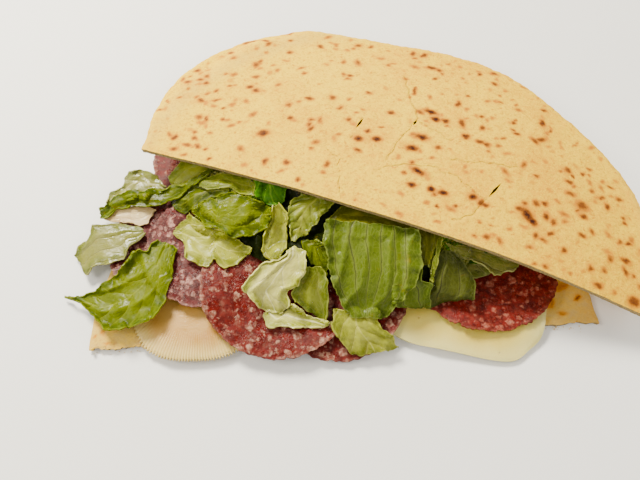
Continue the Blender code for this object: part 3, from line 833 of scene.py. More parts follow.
def ceiling_field(pile):
    """Underside of the upper half of the bread over each cell, high where there is none."""
    tree = skin_of("bread_top")
    field = np.full(pile.top.shape, OPEN_SKY)
    for j in range(0, pile.rows, CEILING_STEP):
        for i in range(0, pile.columns, CEILING_STEP):
            start = Vector((PILE_X[0] + (i + 0.5) * PILE_CELL, PILE_Y[0] + (j + 0.5) * PILE_CELL, -1.0))
            hit = tree.ray_cast(start, Vector((0, 0, 1)))[0]
            if hit is not None:
                field[j:j + CEILING_STEP, i:i + CEILING_STEP] = hit.z
    return field


def along_edge(edge, share):
    """Places at shares of an edge's length, its corners slightly rounded."""
    edge = np.array(edge, float)
    steps = np.concatenate([[0], np.cumsum(np.hypot(*np.diff(edge, axis=0).T))])
    return [sum(np.interp(share + shift, steps / steps[-1], places) for shift in (-0.02, 0, 0.02)) / 3
            for places in edge.T]


def sight_lines(px, py):
    """Where the lines of sight through pixels meet the floor, and their shift for each unit of height."""
    right, over, back, place = (camera.matrix_world.col[k][:3] for k in range(4))
    pixels = CAMERA_LENS / CAMERA_SENSOR * PHOTO_SIZE[0]
    u, v = (px - PHOTO_SIZE[0] / 2) / pixels, (PHOTO_SIZE[1] / 2 - py) / pixels
    ray = [right[k] * u + over[k] * v - back[k] for k in range(3)]
    lean = ray[0] / ray[2], ray[1] / ray[2]
    return [place[k] / MM - lean[k] * place[2] / MM for k in (0, 1)], lean


def leaf_relief(x, y, s, t, length, width, look, seed):
    """Height over a leaf's plain sheet, and the numbers that its material reads."""
    (low, high, rise), curls, vein_angle, spacing, fold, swelling, frill = look
    side_of = np.sign(t)
    along, across = s * length, t * width
    fold_at = (across + 0.2 * along + 3.0 * waves(across, along, 30.0, seed + 8)) / FOLD_PITCH
    crest = 1 - 2 * np.abs(np.sin(math.pi * fold_at)) ** 0.8
    lift = 0.6 * fold * crest * (0.6 + 0.4 * np.abs(t))
    curl = np.where(t < 0, curls[0], curls[1]) * (0.55 + 0.45 * waves(along, 20 * side_of, 16.0, seed + 12))
    lift = lift + curl * np.clip((np.abs(t) - 0.55) / 0.45, 0, 1) ** 1.5
    ends = np.clip(1 - np.minimum(s, 1 - s) * length / 7.0, 0, 1) ** 2
    lift = lift + 0.7 * fold * ends * (0.3 + waves(across, along, 12.0, seed + 13))
    if vein_angle:
        slant = math.radians(vein_angle)
        vein = (along * math.sin(slant) - np.abs(across) * math.cos(slant)) / spacing
        ridge = 0.7 * near(across, 0.9 - 0.5 * s)
    else:
        vein = t * np.mean(width) / spacing + 0.5 + 0.3 * waves(across, 0.1 * along, 20.0, seed + 4)
        ridge = 0.0 * s
    vein = vein + 0.18 * waves(x, y, 34.0, seed + 15) + 0.02 * waves(x, y, 7.0, seed + 5)
    domes = np.abs(np.sin(math.pi * vein))
    lift = lift + swelling * ((domes ** 0.6 - 0.6) * 0.6 * (1 - ridge) + 0.22 * waves(x, y, 9.0, seed + 6))
    lift = lift + 0.08 * swelling * waves(x, y, 3.4, seed + 14) + 0.15 * ridge
    lift = lift + frill * np.abs(t) ** 3 * waves(along, 4 * side_of, 8.0, seed + 7)
    edge = np.minimum((1 - np.abs(t)) * width, np.minimum(s, 1 - s) * length)
    margin = edge + 1.5 * waves(x, y, 12.0, seed + 10)
    z = low + (high - low) * s + rise * 4 * s * (1 - s) + lift
    return z, {"along": along, "across": across, "vein": vein, "ridge": ridge,
               "margin": margin, "edge": edge}


def settle(x, y, z, pile, ceiling):
    """Lay a leaf on the pile: it stays clear of what is below and of the bread above."""
    low = pile.under(x, y) + LEAF_GAP
    high = ceiling[pile.cells(x, y)] - LEAF - LEAF_GAP
    lift = soften(np.maximum(low - z, 0), 3)
    return np.minimum(np.maximum(z + lift, low), high)


def leaf_sheet(name, kind, edges, look, pile, ceiling, seed, seen=True):
    """One leaf as a thin wavy sheet between two edges: pixels where it is seen, or else plan points."""
    spine = np.mean([np.array(along_edge(edge, np.linspace(0, 1, 9))) for edge in edges], axis=0)
    rungs = np.subtract(*(np.array(along_edge(edge, np.linspace(0, 1, 9))) for edge in edges))
    scale = MM_A_PIXEL if seen else 1.0
    length = scale * float(np.sum(np.hypot(*np.diff(spine, axis=1))))
    breadth = scale * float(np.max(np.hypot(*rungs)))
    piece, a, b = grid(name, max(12, int(length / LEAF_CELL)), max(12, int(breadth / LEAF_CELL)))
    s, t = (a + 1) / 2, b
    first, second = (along_edge(edge, s) for edge in edges)
    px, py = ((first[k] * (1 - t) + second[k] * (1 + t)) / 2 for k in (0, 1))
    (x0, y0), lean = sight_lines(px, py) if seen else ((px, py), (0.0, 0.0))
    turned = np.mean(np.gradient(x0, axis=1) * np.gradient(y0, axis=0)
                     - np.gradient(y0, axis=1) * np.gradient(x0, axis=0)) < 0
    if turned:
        s, t, x0, y0 = (values[::-1] for values in (s, t, x0, y0))
        lean = tuple(value[::-1] if seen else value for value in lean)
    width = np.hypot(x0[-1] - x0[0], y0[-1] - y0[0])[None, :] / 2 + 0 * t
    for pitch, depth in BITES:
        rim = np.abs(t) ** 4
        x0 = x0 + depth * rim * waves(s * length, 9 * np.sign(t), pitch, seed + 1)
        y0 = y0 + depth * rim * waves(s * length, 9 * np.sign(t), pitch, seed + 2)
        tips = (2 * np.abs(s - 0.5)) ** 8
        x0 = x0 + depth * tips * waves(t * width, 9 * np.sign(s - 0.5), pitch, seed + 3)
        y0 = y0 + depth * tips * waves(t * width, 9 * np.sign(s - 0.5), pitch, seed + 9)
    z, numbers = leaf_relief(x0, y0, s, t, length, width, look, seed)
    plain = z
    for _ in range(3):
        x, y = x0 + lean[0] * z, y0 + lean[1] * z
        z = settle(x, y, plain, pile, ceiling)
    x, y = x0 + lean[0] * z, y0 + lean[1] * z
    pile.add(x, y, z + LEAF)
    shape(piece, x, y, z)
    # Painted light and shade: how far each point lies below its smoothed neighbours, darker in hollows,
    # lighter on crests
    numbers["hollow"] = np.clip((soften(z, 10) - z) / 0.9, -1, 1)
    numbers["tone"] = np.full(x.shape, np.random.default_rng(seed).uniform(0, 1))
    for key, values in numbers.items():
        mark(piece, key, values)
    piece.data.materials.append(leaf_skins[kind])
    thicken(piece, LEAF, True)
    return piece


def vein_group():
    """Side veins from their running number, and the fine net between them."""
    tree, into, out = new_group("leaf_veins", dict.fromkeys(("Vein", "Along", "Across"), "Float"),
                                dict.fromkeys(("Lines", "Shade", "Net", "Swell"), "Float"))
    off_line = sums(tree, "PINGPONG", into.outputs["Vein"], 0.5)
    lines = stretch(tree, off_line, 0.01, 0.05, 1.0, 0.0)
    shade = sums(tree, "SUBTRACT", stretch(tree, off_line, 0.04, 0.2, 1.0, 0.0), lines, True)
    drawn_out = times(tree, into.outputs["Along"], 0.55)
    place = add(tree, "CombineXYZ", None, {"X": drawn_out, "Y": into.outputs["Across"]}).outputs[0]
    cells = add(tree, "TexVoronoi", {"feature": "DISTANCE_TO_EDGE"}, {"Vector": place, "Scale": 0.42})
    net = stretch(tree, cells.outputs["Distance"], 0.0, 0.09, 1.0, 0.0)
    domes = stretch(tree, cells.outputs["Distance"], 0.0, 0.4)
    for name, value in {"Lines": lines, "Shade": shade, "Net": net, "Swell": domes}.items():
        tree.links.new(value, out.inputs[name])
    return tree


leaf_veins = vein_group()


def leaf_paint(kind, rim, inside, vein, beside, rib):
    """A wet leaf: greener to its rim, finely veined, its own tone, with painted shade in hollows, painted
    light on crests.
    """
    material, tree, shader = new_material("lettuce_" + kind, 0.35)
    shader.inputs["Specular IOR Level"].default_value = LEAF_GLOSS.get(kind, OTHER_GLOSS)
    place = millimetres(tree)
    veins = add(tree, "Group", {"node_tree": leaf_veins},
                {name: marked(tree, name.lower()) for name in ("Vein", "Along", "Across")})
    patches = noise(tree, place, 0.07, 4.0, 0.6)
    fine = noise(tree, place, 0.5, 4.0, 0.65)
    inner = stretch(tree, marked(tree, "margin"), 0.0, 9.0)
    inner = plus(tree, inner, times(tree, sums(tree, "SUBTRACT", patches, 0.5), 1.8), True)
    body = blend(tree, inner, rim, inside)
    body = blend(tree, stretch(tree, fine, 0.45, 0.8, 0.0, 0.3), body, beside)
    bruised = stretch(tree, noise(tree, place, 0.1, 4.0, 0.65, 0.5), 0.6, 0.76, 0.0, 0.45)
    body = blend(tree, bruised, body, BRUISE)
    clear = 0.66 if kind in CLEAR_VEINS else 0.5
    body = blend(tree, times(tree, veins.outputs["Net"], 0.3), body, beside)
    body = blend(tree, times(tree, veins.outputs["Shade"], 0.75 * clear), body, beside)
    body = blend(tree, times(tree, veins.outputs["Lines"], clear), body, vein)
    body = blend(tree, stretch(tree, marked(tree, "edge"), 0.2, 0.9, 0.7, 0.0), body, beside)
    body = blend(tree, stretch(tree, marked(tree, "ridge"), 0.25, 0.8, 0.0, 0.7), body, rib)
    # Painted shade: the hollows of the folds take the darker rim colour
    body = blend(tree, stretch(tree, marked(tree, "hollow"), 0.1, 1.0, 0.0, 0.5), body, rim)
    # Each leaf's own tone, with painted light on the crests and painted shade in the hollows
    light = plus(tree, stretch(tree, marked(tree, "tone"), 0.0, 1.0, 0.94, 1.1),
                 stretch(tree, marked(tree, "hollow"), -1.0, 1.0, 0.24, -0.2))
    tone = add(tree, "HueSaturation", None, {"Color": body, "Value": light})
    tree.links.new(tone.outputs["Color"], shader.inputs["Base Color"])
    rough, height = wetness(tree, place, 0.5)
    tree.links.new(rough, shader.inputs["Roughness"])
    lit_through(shader, 0.15, 1.5, (0.8, 1.0, 0.2))
    relief = plus(tree, times(tree, veins.outputs["Swell"], 0.3),
                  times(tree, veins.outputs["Lines"], -0.5))
    relief = plus(tree, relief, times(tree, height, 0.6))
    bump(tree, shader, relief, 0.3)
    return material


def lay_leaves(table, first_name, seed, slot, node=None):
    """Lay a table's leaves on the pile in turn; each stands for its own node, or all for the same one."""
    for number, (name, (kind, first, second, *look)) in enumerate(table.items()):
        piece = leaf_sheet(first_name + name, kind, (first, second), look, pile, ceiling, seed + 20 * number)
        finish_piece(piece, slot, node or name)


leaf_skins = {kind: leaf_paint(kind, *colours) for kind, colours in LEAF_COLOURS.items()}
pile = Pile()
ceiling = ceiling_field(pile)
for piece in [thing for thing in bpy.data.objects if thing.name.startswith(("bread_lower", "slice_"))]:
    pile.add(*points_of(piece))
lay_leaves(APART_BELOW, "lone_", 100, "pale_lettuce")


# Heart of the heap: the crumpled lower layers, painted nearly black as the shade between the leaves that
# show. Over its back and sides, which the bread hides from the front, lie more torn leaves, by a rule with a
# seeded draw.
CORE_MIDDLE = (-2.0, 8.0)
CORE_HALF = (94.0, 56.0)
CORE_TURN = math.radians(-16.0)
CORE_CELLS = (130, 84)
# How far it lies below the solid's top; its share of the solid's half sizes, and its shift to the back
CORE_SINK = 2.5
CORE_SHARE = 0.86
CORE_BACK = (2.0, 7.0)
# Gaps to what is below and to the bread above
CORE_CLEAR = (0.8, 1.5)
CORE_SKIN = 0.8
CORE_MARGIN = 9.0
# Leaves at the back: how high they rise on the core, the angles that they fill, where they start and end as
# shares of the heap's half sizes, and half widths
BACK_LEAVES = 30
BACK_RISE = 3.6
BACK_STEP = 0.05
BACK_FROM, BACK_TO = -25.0, 205.0
BACK_INNER = (0.42, 0.66)
BACK_OUTER = (0.84, 1.02)
BACK_HALF = (8, 13)
BACK_KINDS = ("lime", "green", "yellow", "green", "pale", "bright")
# Half widths of such a leaf along its length, both as shares
BACK_SHAPE = ((0, 0.5), (0.2, 0.8), (0.45, 1.0), (0.7, 0.9), (0.9, 0.6), (1, 0.35))

core, a, b = grid("heap_core", *CORE_CELLS)
core_middle = (CORE_MIDDLE[0] + CORE_BACK[0], CORE_MIDDLE[1] + CORE_BACK[1])
core_half = (CORE_HALF[0] * CORE_SHARE, CORE_HALF[1] * CORE_SHARE)
x, y, rho, angle = rounded(a, b, core_middle, core_half, CORE_TURN, 2.0,
                           lambda rho, angle: 0.03 * ripples(angle * 60, 16.0, 201))
z = soften(laid_on("lettuce_heap", x, y, CORE_MIDDLE), 3) - CORE_SINK
z = z + 0.7 * waves(x, y, 7.0, 202) + 0.35 * waves(x, y, 3.0, 203) - 2.0 * rho ** 10
z = np.maximum(z, pile.under(x, y) + CORE_CLEAR[0])
z = np.minimum(z, ceiling[pile.cells(x, y)] - CORE_CLEAR[1])
pile.add(x, y, z)
shape(core, x, y, z)
numbers = {"along": x, "across": y, "vein": (x + 0.6 * y) / 7}
numbers.update(dict.fromkeys(("margin", "edge"), np.full(x.shape, CORE_MARGIN)))
numbers.update(dict.fromkeys(("ridge", "hollow", "tone"), np.zeros(x.shape)))
for key, values in numbers.items():
    mark(core, key, values)
# Painted shade: the heart is painted nearly black, as the shade between the leaves
core.data.materials.append(leaf_skins["dark"])
thicken(core, CORE_SKIN, False)
finish_piece(core, "lettuce", "lettuce_heap")

lid = np.minimum(ceiling, pile.top + BACK_RISE)
draw = np.random.default_rng(210)
for number in range(BACK_LEAVES):
    heading = math.radians(BACK_FROM + (BACK_TO - BACK_FROM) * (number + draw.uniform(0, 1)) / BACK_LEAVES)
    ends = []
    for reach in (draw.uniform(*BACK_INNER), draw.uniform(*BACK_OUTER)):
        u, v = reach * CORE_HALF[0] * math.cos(heading), reach * CORE_HALF[1] * math.sin(heading)
        ends.append(plan_point(CORE_MIDDLE, CORE_TURN, u, v))
    low, high = (float(pile.under(np.array([x]), np.array([y]))[0]) + 1.0 for x, y in ends)
    half = draw.uniform(*BACK_HALF)
    start, way = Vector(ends[0]), Vector(ends[1]) - Vector(ends[0])
    side = Vector((-way.y, way.x)).normalized()
    edges = [[tuple(start + way * share + side * turn * half * width * draw.uniform(0.85, 1.15))
              for share, width in BACK_SHAPE] for turn in (1, -1)]
    kind = BACK_KINDS[int(draw.integers(0, len(BACK_KINDS)))]
    look = ((low, high, draw.uniform(0.5, 2.0)), (draw.uniform(0.5, 2.5), draw.uniform(0.5, 2.5)),
            draw.uniform(25, 38), 7.0, draw.uniform(0.8, 1.6), 0.7, draw.uniform(0.6, 1.6))
    room = np.minimum(ceiling, lid + BACK_STEP * number)
    piece = leaf_sheet(f"back_leaf_{number + 1:02d}", kind, edges, look, pile, room, 300 + 20 * number, False)
    finish_piece(piece, "lettuce", "lettuce_heap")


# The leaves that show in the heap, from the lowest to the highest, then the two that lie apart on top: the
# long folded strip at the back left and the big frilled leaf at the front left. All are torn by hand.
HEAP_LEAVES = {
    "under_edge": (
        "lime",
        ((206, 158), (183, 160), (175, 167), (168, 179), (173, 187)),
        ((216, 164), (206, 177), (194, 184), (181, 188), (175, 188)),
        (21, 12, 1), (0.8, 1.4), 0, 5.0, 0.7, 0.5, 0.6),
    "dark_left": (
        "deep",
        ((232, 186), (209, 183), (194, 187), (169, 202)),
        ((230, 194), (212, 198), (202, 202), (192, 209), (184, 215), (175, 208)),
        (15, 10, 1), (1.0, 1.0), 30, 6.0, 1.2, 0.6, 0.8),
    "back_left": (
        "lime",
        ((198, 180), (222, 174), (240, 175), (258, 181)),
        ((200, 188), (215, 190), (228, 188), (240, 195), (256, 198)),
        (17, 19, 2), (0.6, 1.6), 0, 5.0, 1.2, 0.5, 1.0),
    "yellow_left": (
        "yellow",
        ((172, 232), (182, 221), (190, 213), (203, 224), (224, 230), (236, 238), (251, 249)),
        ((174, 234), (184, 246), (186, 259), (200, 266), (209, 268), (213, 259), (216, 263), (225, 268),
         (238, 263), (250, 254)),
        (10, 12, 3), (1.0, 1.6), 35, 7.5, 1.3, 0.8, 0.7),
    "bright_back": (
        "bright",
        ((254, 180), (255, 194), (263, 202), (270, 206)),
        ((287, 184), (286, 192), (283, 202), (280, 206)),
        (28, 21, 1), (0.8, 0.8), 30, 6.0, 1.2, 0.4, 0.4),
    "curly": (
        "lime",
        ((304, 193), (291, 200), (286, 212), (290, 222), (288, 230), (292, 240)),
        ((336, 201), (330, 208), (320, 218), (312, 230), (302, 238), (296, 242)),
        (29, 20, 2), (1.6, 1.8), 38, 4.5, 1.4, 1.3, 1.4),
    "upright": (
        "yellow",
        ((270, 206), (272, 218), (267, 226), (262, 237), (261, 248), (265, 257), (271, 261)),
        ((280, 204), (288, 213), (290, 219), (286, 227), (288, 236), (288, 248), (280, 257)),
        (26, 13, 3), (2.4, 2.0), 0, 5.5, 1.5, 0.5, 0.9),
    "ribbed": (
        "green",
        ((318, 240), (300, 240), (304, 252), (308, 261), (317, 266)),
        ((328, 247), (329, 260), (328, 270), (326, 276)),
        (23, 17, 2), (0.8, 1.0), 15, 3.6, 0.7, 0.9, 0.5),
    "middle_green": (
        "lime",
        ((307, 267), (303, 276), (293, 287), (289, 294), (294, 302), (305, 308), (317, 316)),
        ((319, 266), (327, 274), (329, 290), (329, 304), (327, 321)),
        (21, 9, 2), (1.4, 1.2), 0, 5.5, 1.1, 0.6, 0.6),
    "behind_middle": (
        "olive",
        ((326, 221), (340, 208), (365, 207), (395, 215), (425, 224)),
        ((330, 234), (350, 238), (375, 236), (400, 234), (424, 240)),
        (25, 24, 3), (0.6, 0.6), 0, 6.0, 1.0, 0.6, 0.8),
    "under_right": (
        "pale",
        ((444, 243), (466, 246), (492, 253), (520, 263)),
        ((452, 252), (463, 259), (473, 261), (484, 268), (493, 274), (501, 276), (517, 269)),
        (18, 12, 2), (0.5, 1.6), 0, 7.0, 0.9, 0.5, 0.8),
    # Painted shade: this leaf lies in the shade of the bread's edge and takes the darker streaked colours
    "right": (
        "dusky",
        ((440, 250), (436, 268), (430, 283), (421, 291), (424, 306), (429, 309)),
        ((453, 251), (464, 261), (471, 273), (475, 287), (475, 299), (453, 299), (442, 302)),
        (21, 8, 3), (1.2, 1.4), 0, 6.5, 1.3, 0.4, 0.6),
    "low_ribs": (
        "white",
        ((262, 313), (265, 326), (270, 330), (282, 327), (294, 328), (308, 327), (325, 329),
         (331, 323)),
        ((277, 312), (287, 313), (291, 303), (301, 310), (320, 319), (330, 322)),
        (10, 9, 1), (1.6, 1.0), 20, 3.2, 0.9, 0.4, 0.9),
    "middle_side": (
        "streaked",
        ((396, 262), (395, 285), (396, 306), (409, 307)),
        ((421, 262), (424, 280), (433, 285), (429, 308)),
        (24, 10, 3), (0.8, 1.0), 0, 7.0, 1.1, 0.5, 0.6),
    "thin_edge": (
        "lime",
        ((437, 233), (436, 252), (431, 265), (430, 281)),
        ((443, 238), (440, 252), (437, 267), (433, 283)),
        (26, 15, 2), (0.6, 1.2), 0, 4.0, 0.5, 0.2, 0.4),
    "behind_side": (
        "olive",
        ((418, 228), (419, 250), (421, 266)),
        ((440, 234), (436, 248), (431, 262)),
        (24, 18, 1), (0.8, 0.8), 0, 5.0, 0.8, 0.4, 0.4),
    "bottom_yellow": (
        "yellow",
        ((334, 308), (332, 326), (338, 337), (346, 347), (352, 357)),
        ((378, 308), (379, 320), (384, 330), (393, 338), (396, 343), (398, 348)),
        (13, 5, 2), (1.2, 1.4), 38, 7.0, 1.2, 1.0, 0.9),
    "middle": (
        "streaked",
        ((328, 218), (323, 235), (325, 249), (329, 268), (334, 290), (345, 309), (352, 317)),
        ((420, 229), (422, 254), (421, 276), (408, 294), (397, 304), (394, 311), (387, 319)),
        (30, 10, 4), (2.8, 1.6), 0, 7.0, 1.6, 0.3, 0.8),
    "white": (
        "white",
        ((287, 250), (278, 260), (263, 262), (249, 276), (245, 284), (242, 291), (251, 299), (259, 307),
         (268, 313)),
        ((298, 247), (305, 252), (308, 261), (304, 274), (297, 286), (289, 288), (287, 293), (289, 306),
         (283, 313)),
        (26, 10, 4), (2.6, 2.4), 35, 9.0, 2.0, 0.8, 1.4),
    "veined_left": (
        "green",
        ((191, 211), (202, 202), (212, 196), (218, 205), (216, 196), (228, 193), (244, 195), (261, 202),
         (272, 208)),
        ((193, 214), (204, 226), (223, 231), (236, 239), (251, 236), (266, 230), (272, 219)),
        (14, 21, 4), (1.6, 1.8), 38, 7.0, 1.7, 0.8, 1.0),
}
APART_ABOVE = {
    "leaf_strip": (
        "green",
        ((214, 166), (201, 173), (186, 184), (175, 185), (156, 190), (136, 190), (121, 193), (112, 199),
         (104, 206), (99, 208)),
        ((212, 170), (201, 181), (187, 191), (171, 202), (156, 207), (131, 206), (117, 211), (106, 218),
         (100, 220)),
        (20, 6, 1), (1.6, 2.2), 0, 4.5, 1.0, 0.4, 0.8),
    "leaf_front_left": (
        "green",
        ((160, 240), (149, 244), (144, 253), (140, 247), (131, 254), (123, 265), (117, 274), (107, 282),
         (94, 290), (81, 296), (66, 296)),
        ((177, 247), (175, 265), (172, 280), (167, 292), (164, 303), (159, 313), (144, 323), (123, 329),
         (105, 331), (98, 322), (87, 309), (75, 302), (66, 297)),
        (11, 3, 3), (3.2, 2.4), 38, 8.0, 1.9, 0.8, 1.7),
}

lay_leaves(HEAP_LEAVES, "heap_", 1000, "lettuce", "lettuce_heap")
lay_leaves(APART_ABOVE, "lone_", 1500, "lettuce")


# Drops of water from the washed leaves, which stand on the lettuce and the salami: clear flattened beads of
# one shape in many sizes, scattered by a seeded draw over the faces that look up.
DROPS = 900
# Longest radius in millimetres, width by length, height by length, and how deep a drop's middle sits
DROP_RADIUS = (0.16, 0.42)
DROP_ROUND = (0.8, 1.0)
DROP_FLAT = 0.6
DROP_SUNK = 0.05
# The pieces that are wet, and how far up a face has to look
DROP_ON = ("heap_", "lone_", "slice_salami")
DROP_UPRIGHT = 0.8
WATER_COLOURS = ((240, 246, 236), (255, 255, 252))
WATER_IOR = 1.33


def strewn(name, places):
    """One piece of many small beads; a matrix for each gives its place, turn and radii."""
    bpy.ops.object.select_all(action="DESELECT")
    bpy.ops.mesh.primitive_ico_sphere_add(subdivisions=1, radius=MM)
    piece = bpy.context.object
    piece.name = name
    bead = piece.data.copy()
    for place in places[1:]:
        copy = bpy.data.objects.new("bead", bead.copy())
        bpy.context.collection.objects.link(copy)
        copy.data.transform(place)
        copy.select_set(True)
    piece.data.transform(places[0])
    bpy.ops.object.join()
    return piece


faces = [(polygon.center.copy(), polygon.normal.copy())
         for piece in bpy.data.objects if piece.name.startswith(DROP_ON) and piece is not core
         for polygon in piece.data.polygons if polygon.normal.z > DROP_UPRIGHT]
draw = np.random.default_rng(800)
places = [Matrix.Translation(faces[0][0]) @ Matrix.Scale(DROP_RADIUS[0], 4)]
for number in draw.choice(len(faces), DROPS, replace=False):
    middle, up = faces[int(number)]
    wide, narrow = draw.uniform(*DROP_RADIUS), draw.uniform(*DROP_ROUND)
    turn = up.to_track_quat("Z", "Y").to_matrix().to_4x4()
    size = Matrix.Diagonal((wide, wide * narrow, wide * DROP_FLAT, 1.0))
    places.append(Matrix.Translation(middle - up * DROP_SUNK * MM) @ turn @ size)
drops = strewn("water_drops", places)
bpy.ops.object.shade_smooth()
water, water_tree, water_shader = new_material("water", 0.04)
water_shader.inputs["Transmission Weight"].default_value = 1.0
water_shader.inputs["IOR"].default_value = WATER_IOR
water_grain = noise(water_tree, millimetres(water_tree), 0.5)
water_tree.links.new(blend(water_tree, water_grain, *WATER_COLOURS), water_shader.inputs["Base Color"])
drops.data.materials.append(water)
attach(drops, "root")


# Upper half of the bread: the same dough, laid over the filling, so it bends down towards its rim. It has
# three short slits, fine creases where it was bent, a small fold at its back rim, and many scorched spots.
UPPER_MIDDLE = (27.6, -6.6)
UPPER_TURN = math.radians(-23.2)
# Reach of the rim by angle from the right end of the cut edge, and about its mean
UPPER_RADII = ((0, 147), (15, 149), (30, 151), (44, 144), (60, 141), (75, 145), (90, 142), (107, 141),
               (120, 152), (134, 170), (150, 173), (162, 170), (171, 160), (180, 151))
UPPER_RADIUS = 150
UPPER_RIM_BAND = 1.5
UPPER_CELLS = (272, 136)
SLITS = (((-38, 52), (-36, 61)), ((-7, 66), (-6, 71)), ((46, 32), (51, 45)))
SLIT_WIDTH = 1.5
SLIT_DEPTH = 2.3
# Painted shade for the slits' walls: nearly black, where the crumb lies in deep shade
SLIT_SHADE_COLOURS = ((8, 4, 2), (44, 26, 12))
CREASES = (
    ((-24, 107), (-19, 97), (-12, 82), (-8, 80), (-6, 71), (17, 63)),
    ((-6, 71), (-11, 52), (-14, 36)),
    ((-18, 27), (-4, 36), (10, 40), (26, 39), (45, 30), (41, 17), (31, 10)),
    ((-37, 61), (-37, 52), (-38, 44)),
    ((-51, 33), (-40, 27), (-32, 5)),
    ((21, 49), (40, 55), (57, 60)),
)
# Height and width of a crease's ridge, and of the fine crack on it
CREASE_RIDGE = (0.2, 2.2)
CREASE_CRACK = (0.4, 0.9)
UPPER_SCORCH = (
    (0, 81, 3.6, 1.6, -5, 1.0), (4, 76, 2.2, 1.7, 0, 1.1), (10, 77, 2.0, 1.5, 0, 0.9),
    (-14, 95, 1.1, 4.2, 8, 0.8), (0, 59, 3.6, 1.9, 0, 1.0), (-3, 49, 3.0, 1.9, 10, 1.0),
    (11, 55, 1.8, 1.5, 0, 0.7), (24, 70, 2.0, 2.0, 0, 0.9), (32, 81, 1.6, 1.8, 0, 0.8),
    (37, 69, 2.2, 1.6, 0, 0.8), (44, 71, 1.8, 1.2, 0, 0.6), (5, 34, 3.8, 1.6, -12, 1.1),
    (4, 24, 2.2, 1.6, 0, 1.0), (15, 25, 1.8, 1.5, -20, 1.1), (22, 25, 2.4, 1.5, 0, 1.0),
    (38, 29, 2.2, 1.7, 20, 1.0), (43, 27, 1.6, 2.0, 0, 0.8), (-34, 45, 2.4, 1.7, 0, 1.0),
    (-24, 48, 2.6, 1.7, 20, 1.0), (-31, 52, 1.8, 1.2, 0, 0.9), (-44, 57, 1.4, 1.7, 0, 0.7),
    (-22, 71, 2.0, 1.4, 0, 0.8), (-88, 31, 3.0, 2.2, 25, 0.9), (-79, 12, 1.5, 2.4, 0, 0.8),
    (-67, 15, 1.9, 1.7, 0, 0.8), (-45, 21, 1.4, 2.2, 0, 0.7), (-45, 15, 1.5, 1.2, 0, 0.6),
    (-106, 63, 2.0, 1.7, 0, 0.8), (-72, 66, 2.4, 1.3, 0, 0.8), (-59, 71, 2.0, 1.7, 10, 0.7),
    (-82, 57, 1.6, 1.7, 30, 0.7), (77, 42, 1.7, 1.6, 0, 0.8), (69, 59, 1.8, 1.2, 0, 0.7),
    (69, 30, 4.2, 2.6, -50, 0.9), (73, 27, 2.6, 1.8, -40, 0.9), (64, 32, 2.0, 1.6, 0, 0.7),
    (98, 51, 4.0, 3.0, 0, 0.7), (100, 44, 2.2, 1.5, 0, 0.8), (84, 32, 1.6, 2.2, 0, 0.7),
    (76, 19, 1.4, 1.8, 0, 0.7), (93, 17, 1.6, 1.6, 0, 0.8), (85, 3, 1.6, 1.4, 0, 0.7),
    (51, 7, 1.8, 1.7, 0, 0.7), (119, 24, 2.0, 2.4, 0, 0.6), (109, 13, 1.6, 2.2, 0, 0.7),
    (115, 5, 2.6, 1.6, 0, 0.8), (136, 5, 3.4, 3.0, 30, 0.8), (-22, 104, 2.4, 1.2, 0, 0.5),
    (-126, 48, 3.2, 1.0, 30, 0.6), (-128, 10, 2.6, 1.2, 0, 0.6), (86, 73, 2.2, 2.0, 20, 0.7),
)
UPPER_SPOTS = 330
# Chance of a small spot: everywhere, how much more about some place along the cut edge, and past some radius
SPOT_CHANCE = 0.32
SPOT_DENSER = (0.5, 60, 60)
SPOT_AT_RIM = (0.4, 118)
SPOT_INSET = 2
UPPER_TOASTED = 0.35


def upper_plan(u, v):
    """Plan point from the upper half's own axes: u along its cut edge, v away from it."""
    return plan_point(UPPER_MIDDLE, UPPER_TURN, u, v)


def upper_local(x, y):
    """The reverse of upper_plan."""
    dx, dy = x - UPPER_MIDDLE[0], y - UPPER_MIDDLE[1]
    return (dx * math.cos(UPPER_TURN) + dy * math.sin(UPPER_TURN),
            -dx * math.sin(UPPER_TURN) + dy * math.cos(UPPER_TURN))


def off_creases(u, v):
    """Distance to the nearest crease, in millimetres; the creases wander a little."""
    u, v = u + 0.8 * waves(u, v, 9.0, 404), v + 0.8 * waves(u, v, 9.0, 405)
    nearest = np.full(u.shape, NO_CREASE)
    for line in CREASES:
        for (u0, v0), (u1, v1) in zip(line, line[1:]):
            du, dv = u1 - u0, v1 - v0
            share = np.clip(((u - u0) * du + (v - v0) * dv) / (du * du + dv * dv), 0, 1)
            nearest = np.minimum(nearest, np.hypot(u - u0 - share * du, v - v0 - share * dv))
    return nearest


def eased(pairs, at):
    """Value at a place between named pairs, with smooth joins."""
    places, values = zip(*pairs)
    span = (places[-1] - places[0]) / (len(pairs) * 2)
    return sum(np.interp(at + share * span, places, values) for share in (-1, -0.5, 0, 0.5, 1)) / 5


def in_upper(u, v):
    """Chance of a spot at a place of the upper half: higher about its middle right and along the rim."""
    radius = math.hypot(u, v)
    rim = float(eased(UPPER_RADII, math.degrees(math.atan2(v, u))))
    if v < SPOT_INSET or radius > rim - SPOT_INSET:
        return 0.0
    more, middle, width = SPOT_DENSER
    return SPOT_CHANCE + more * near(u - middle, width) + (SPOT_AT_RIM[0] if radius > SPOT_AT_RIM[1] else 0.0)


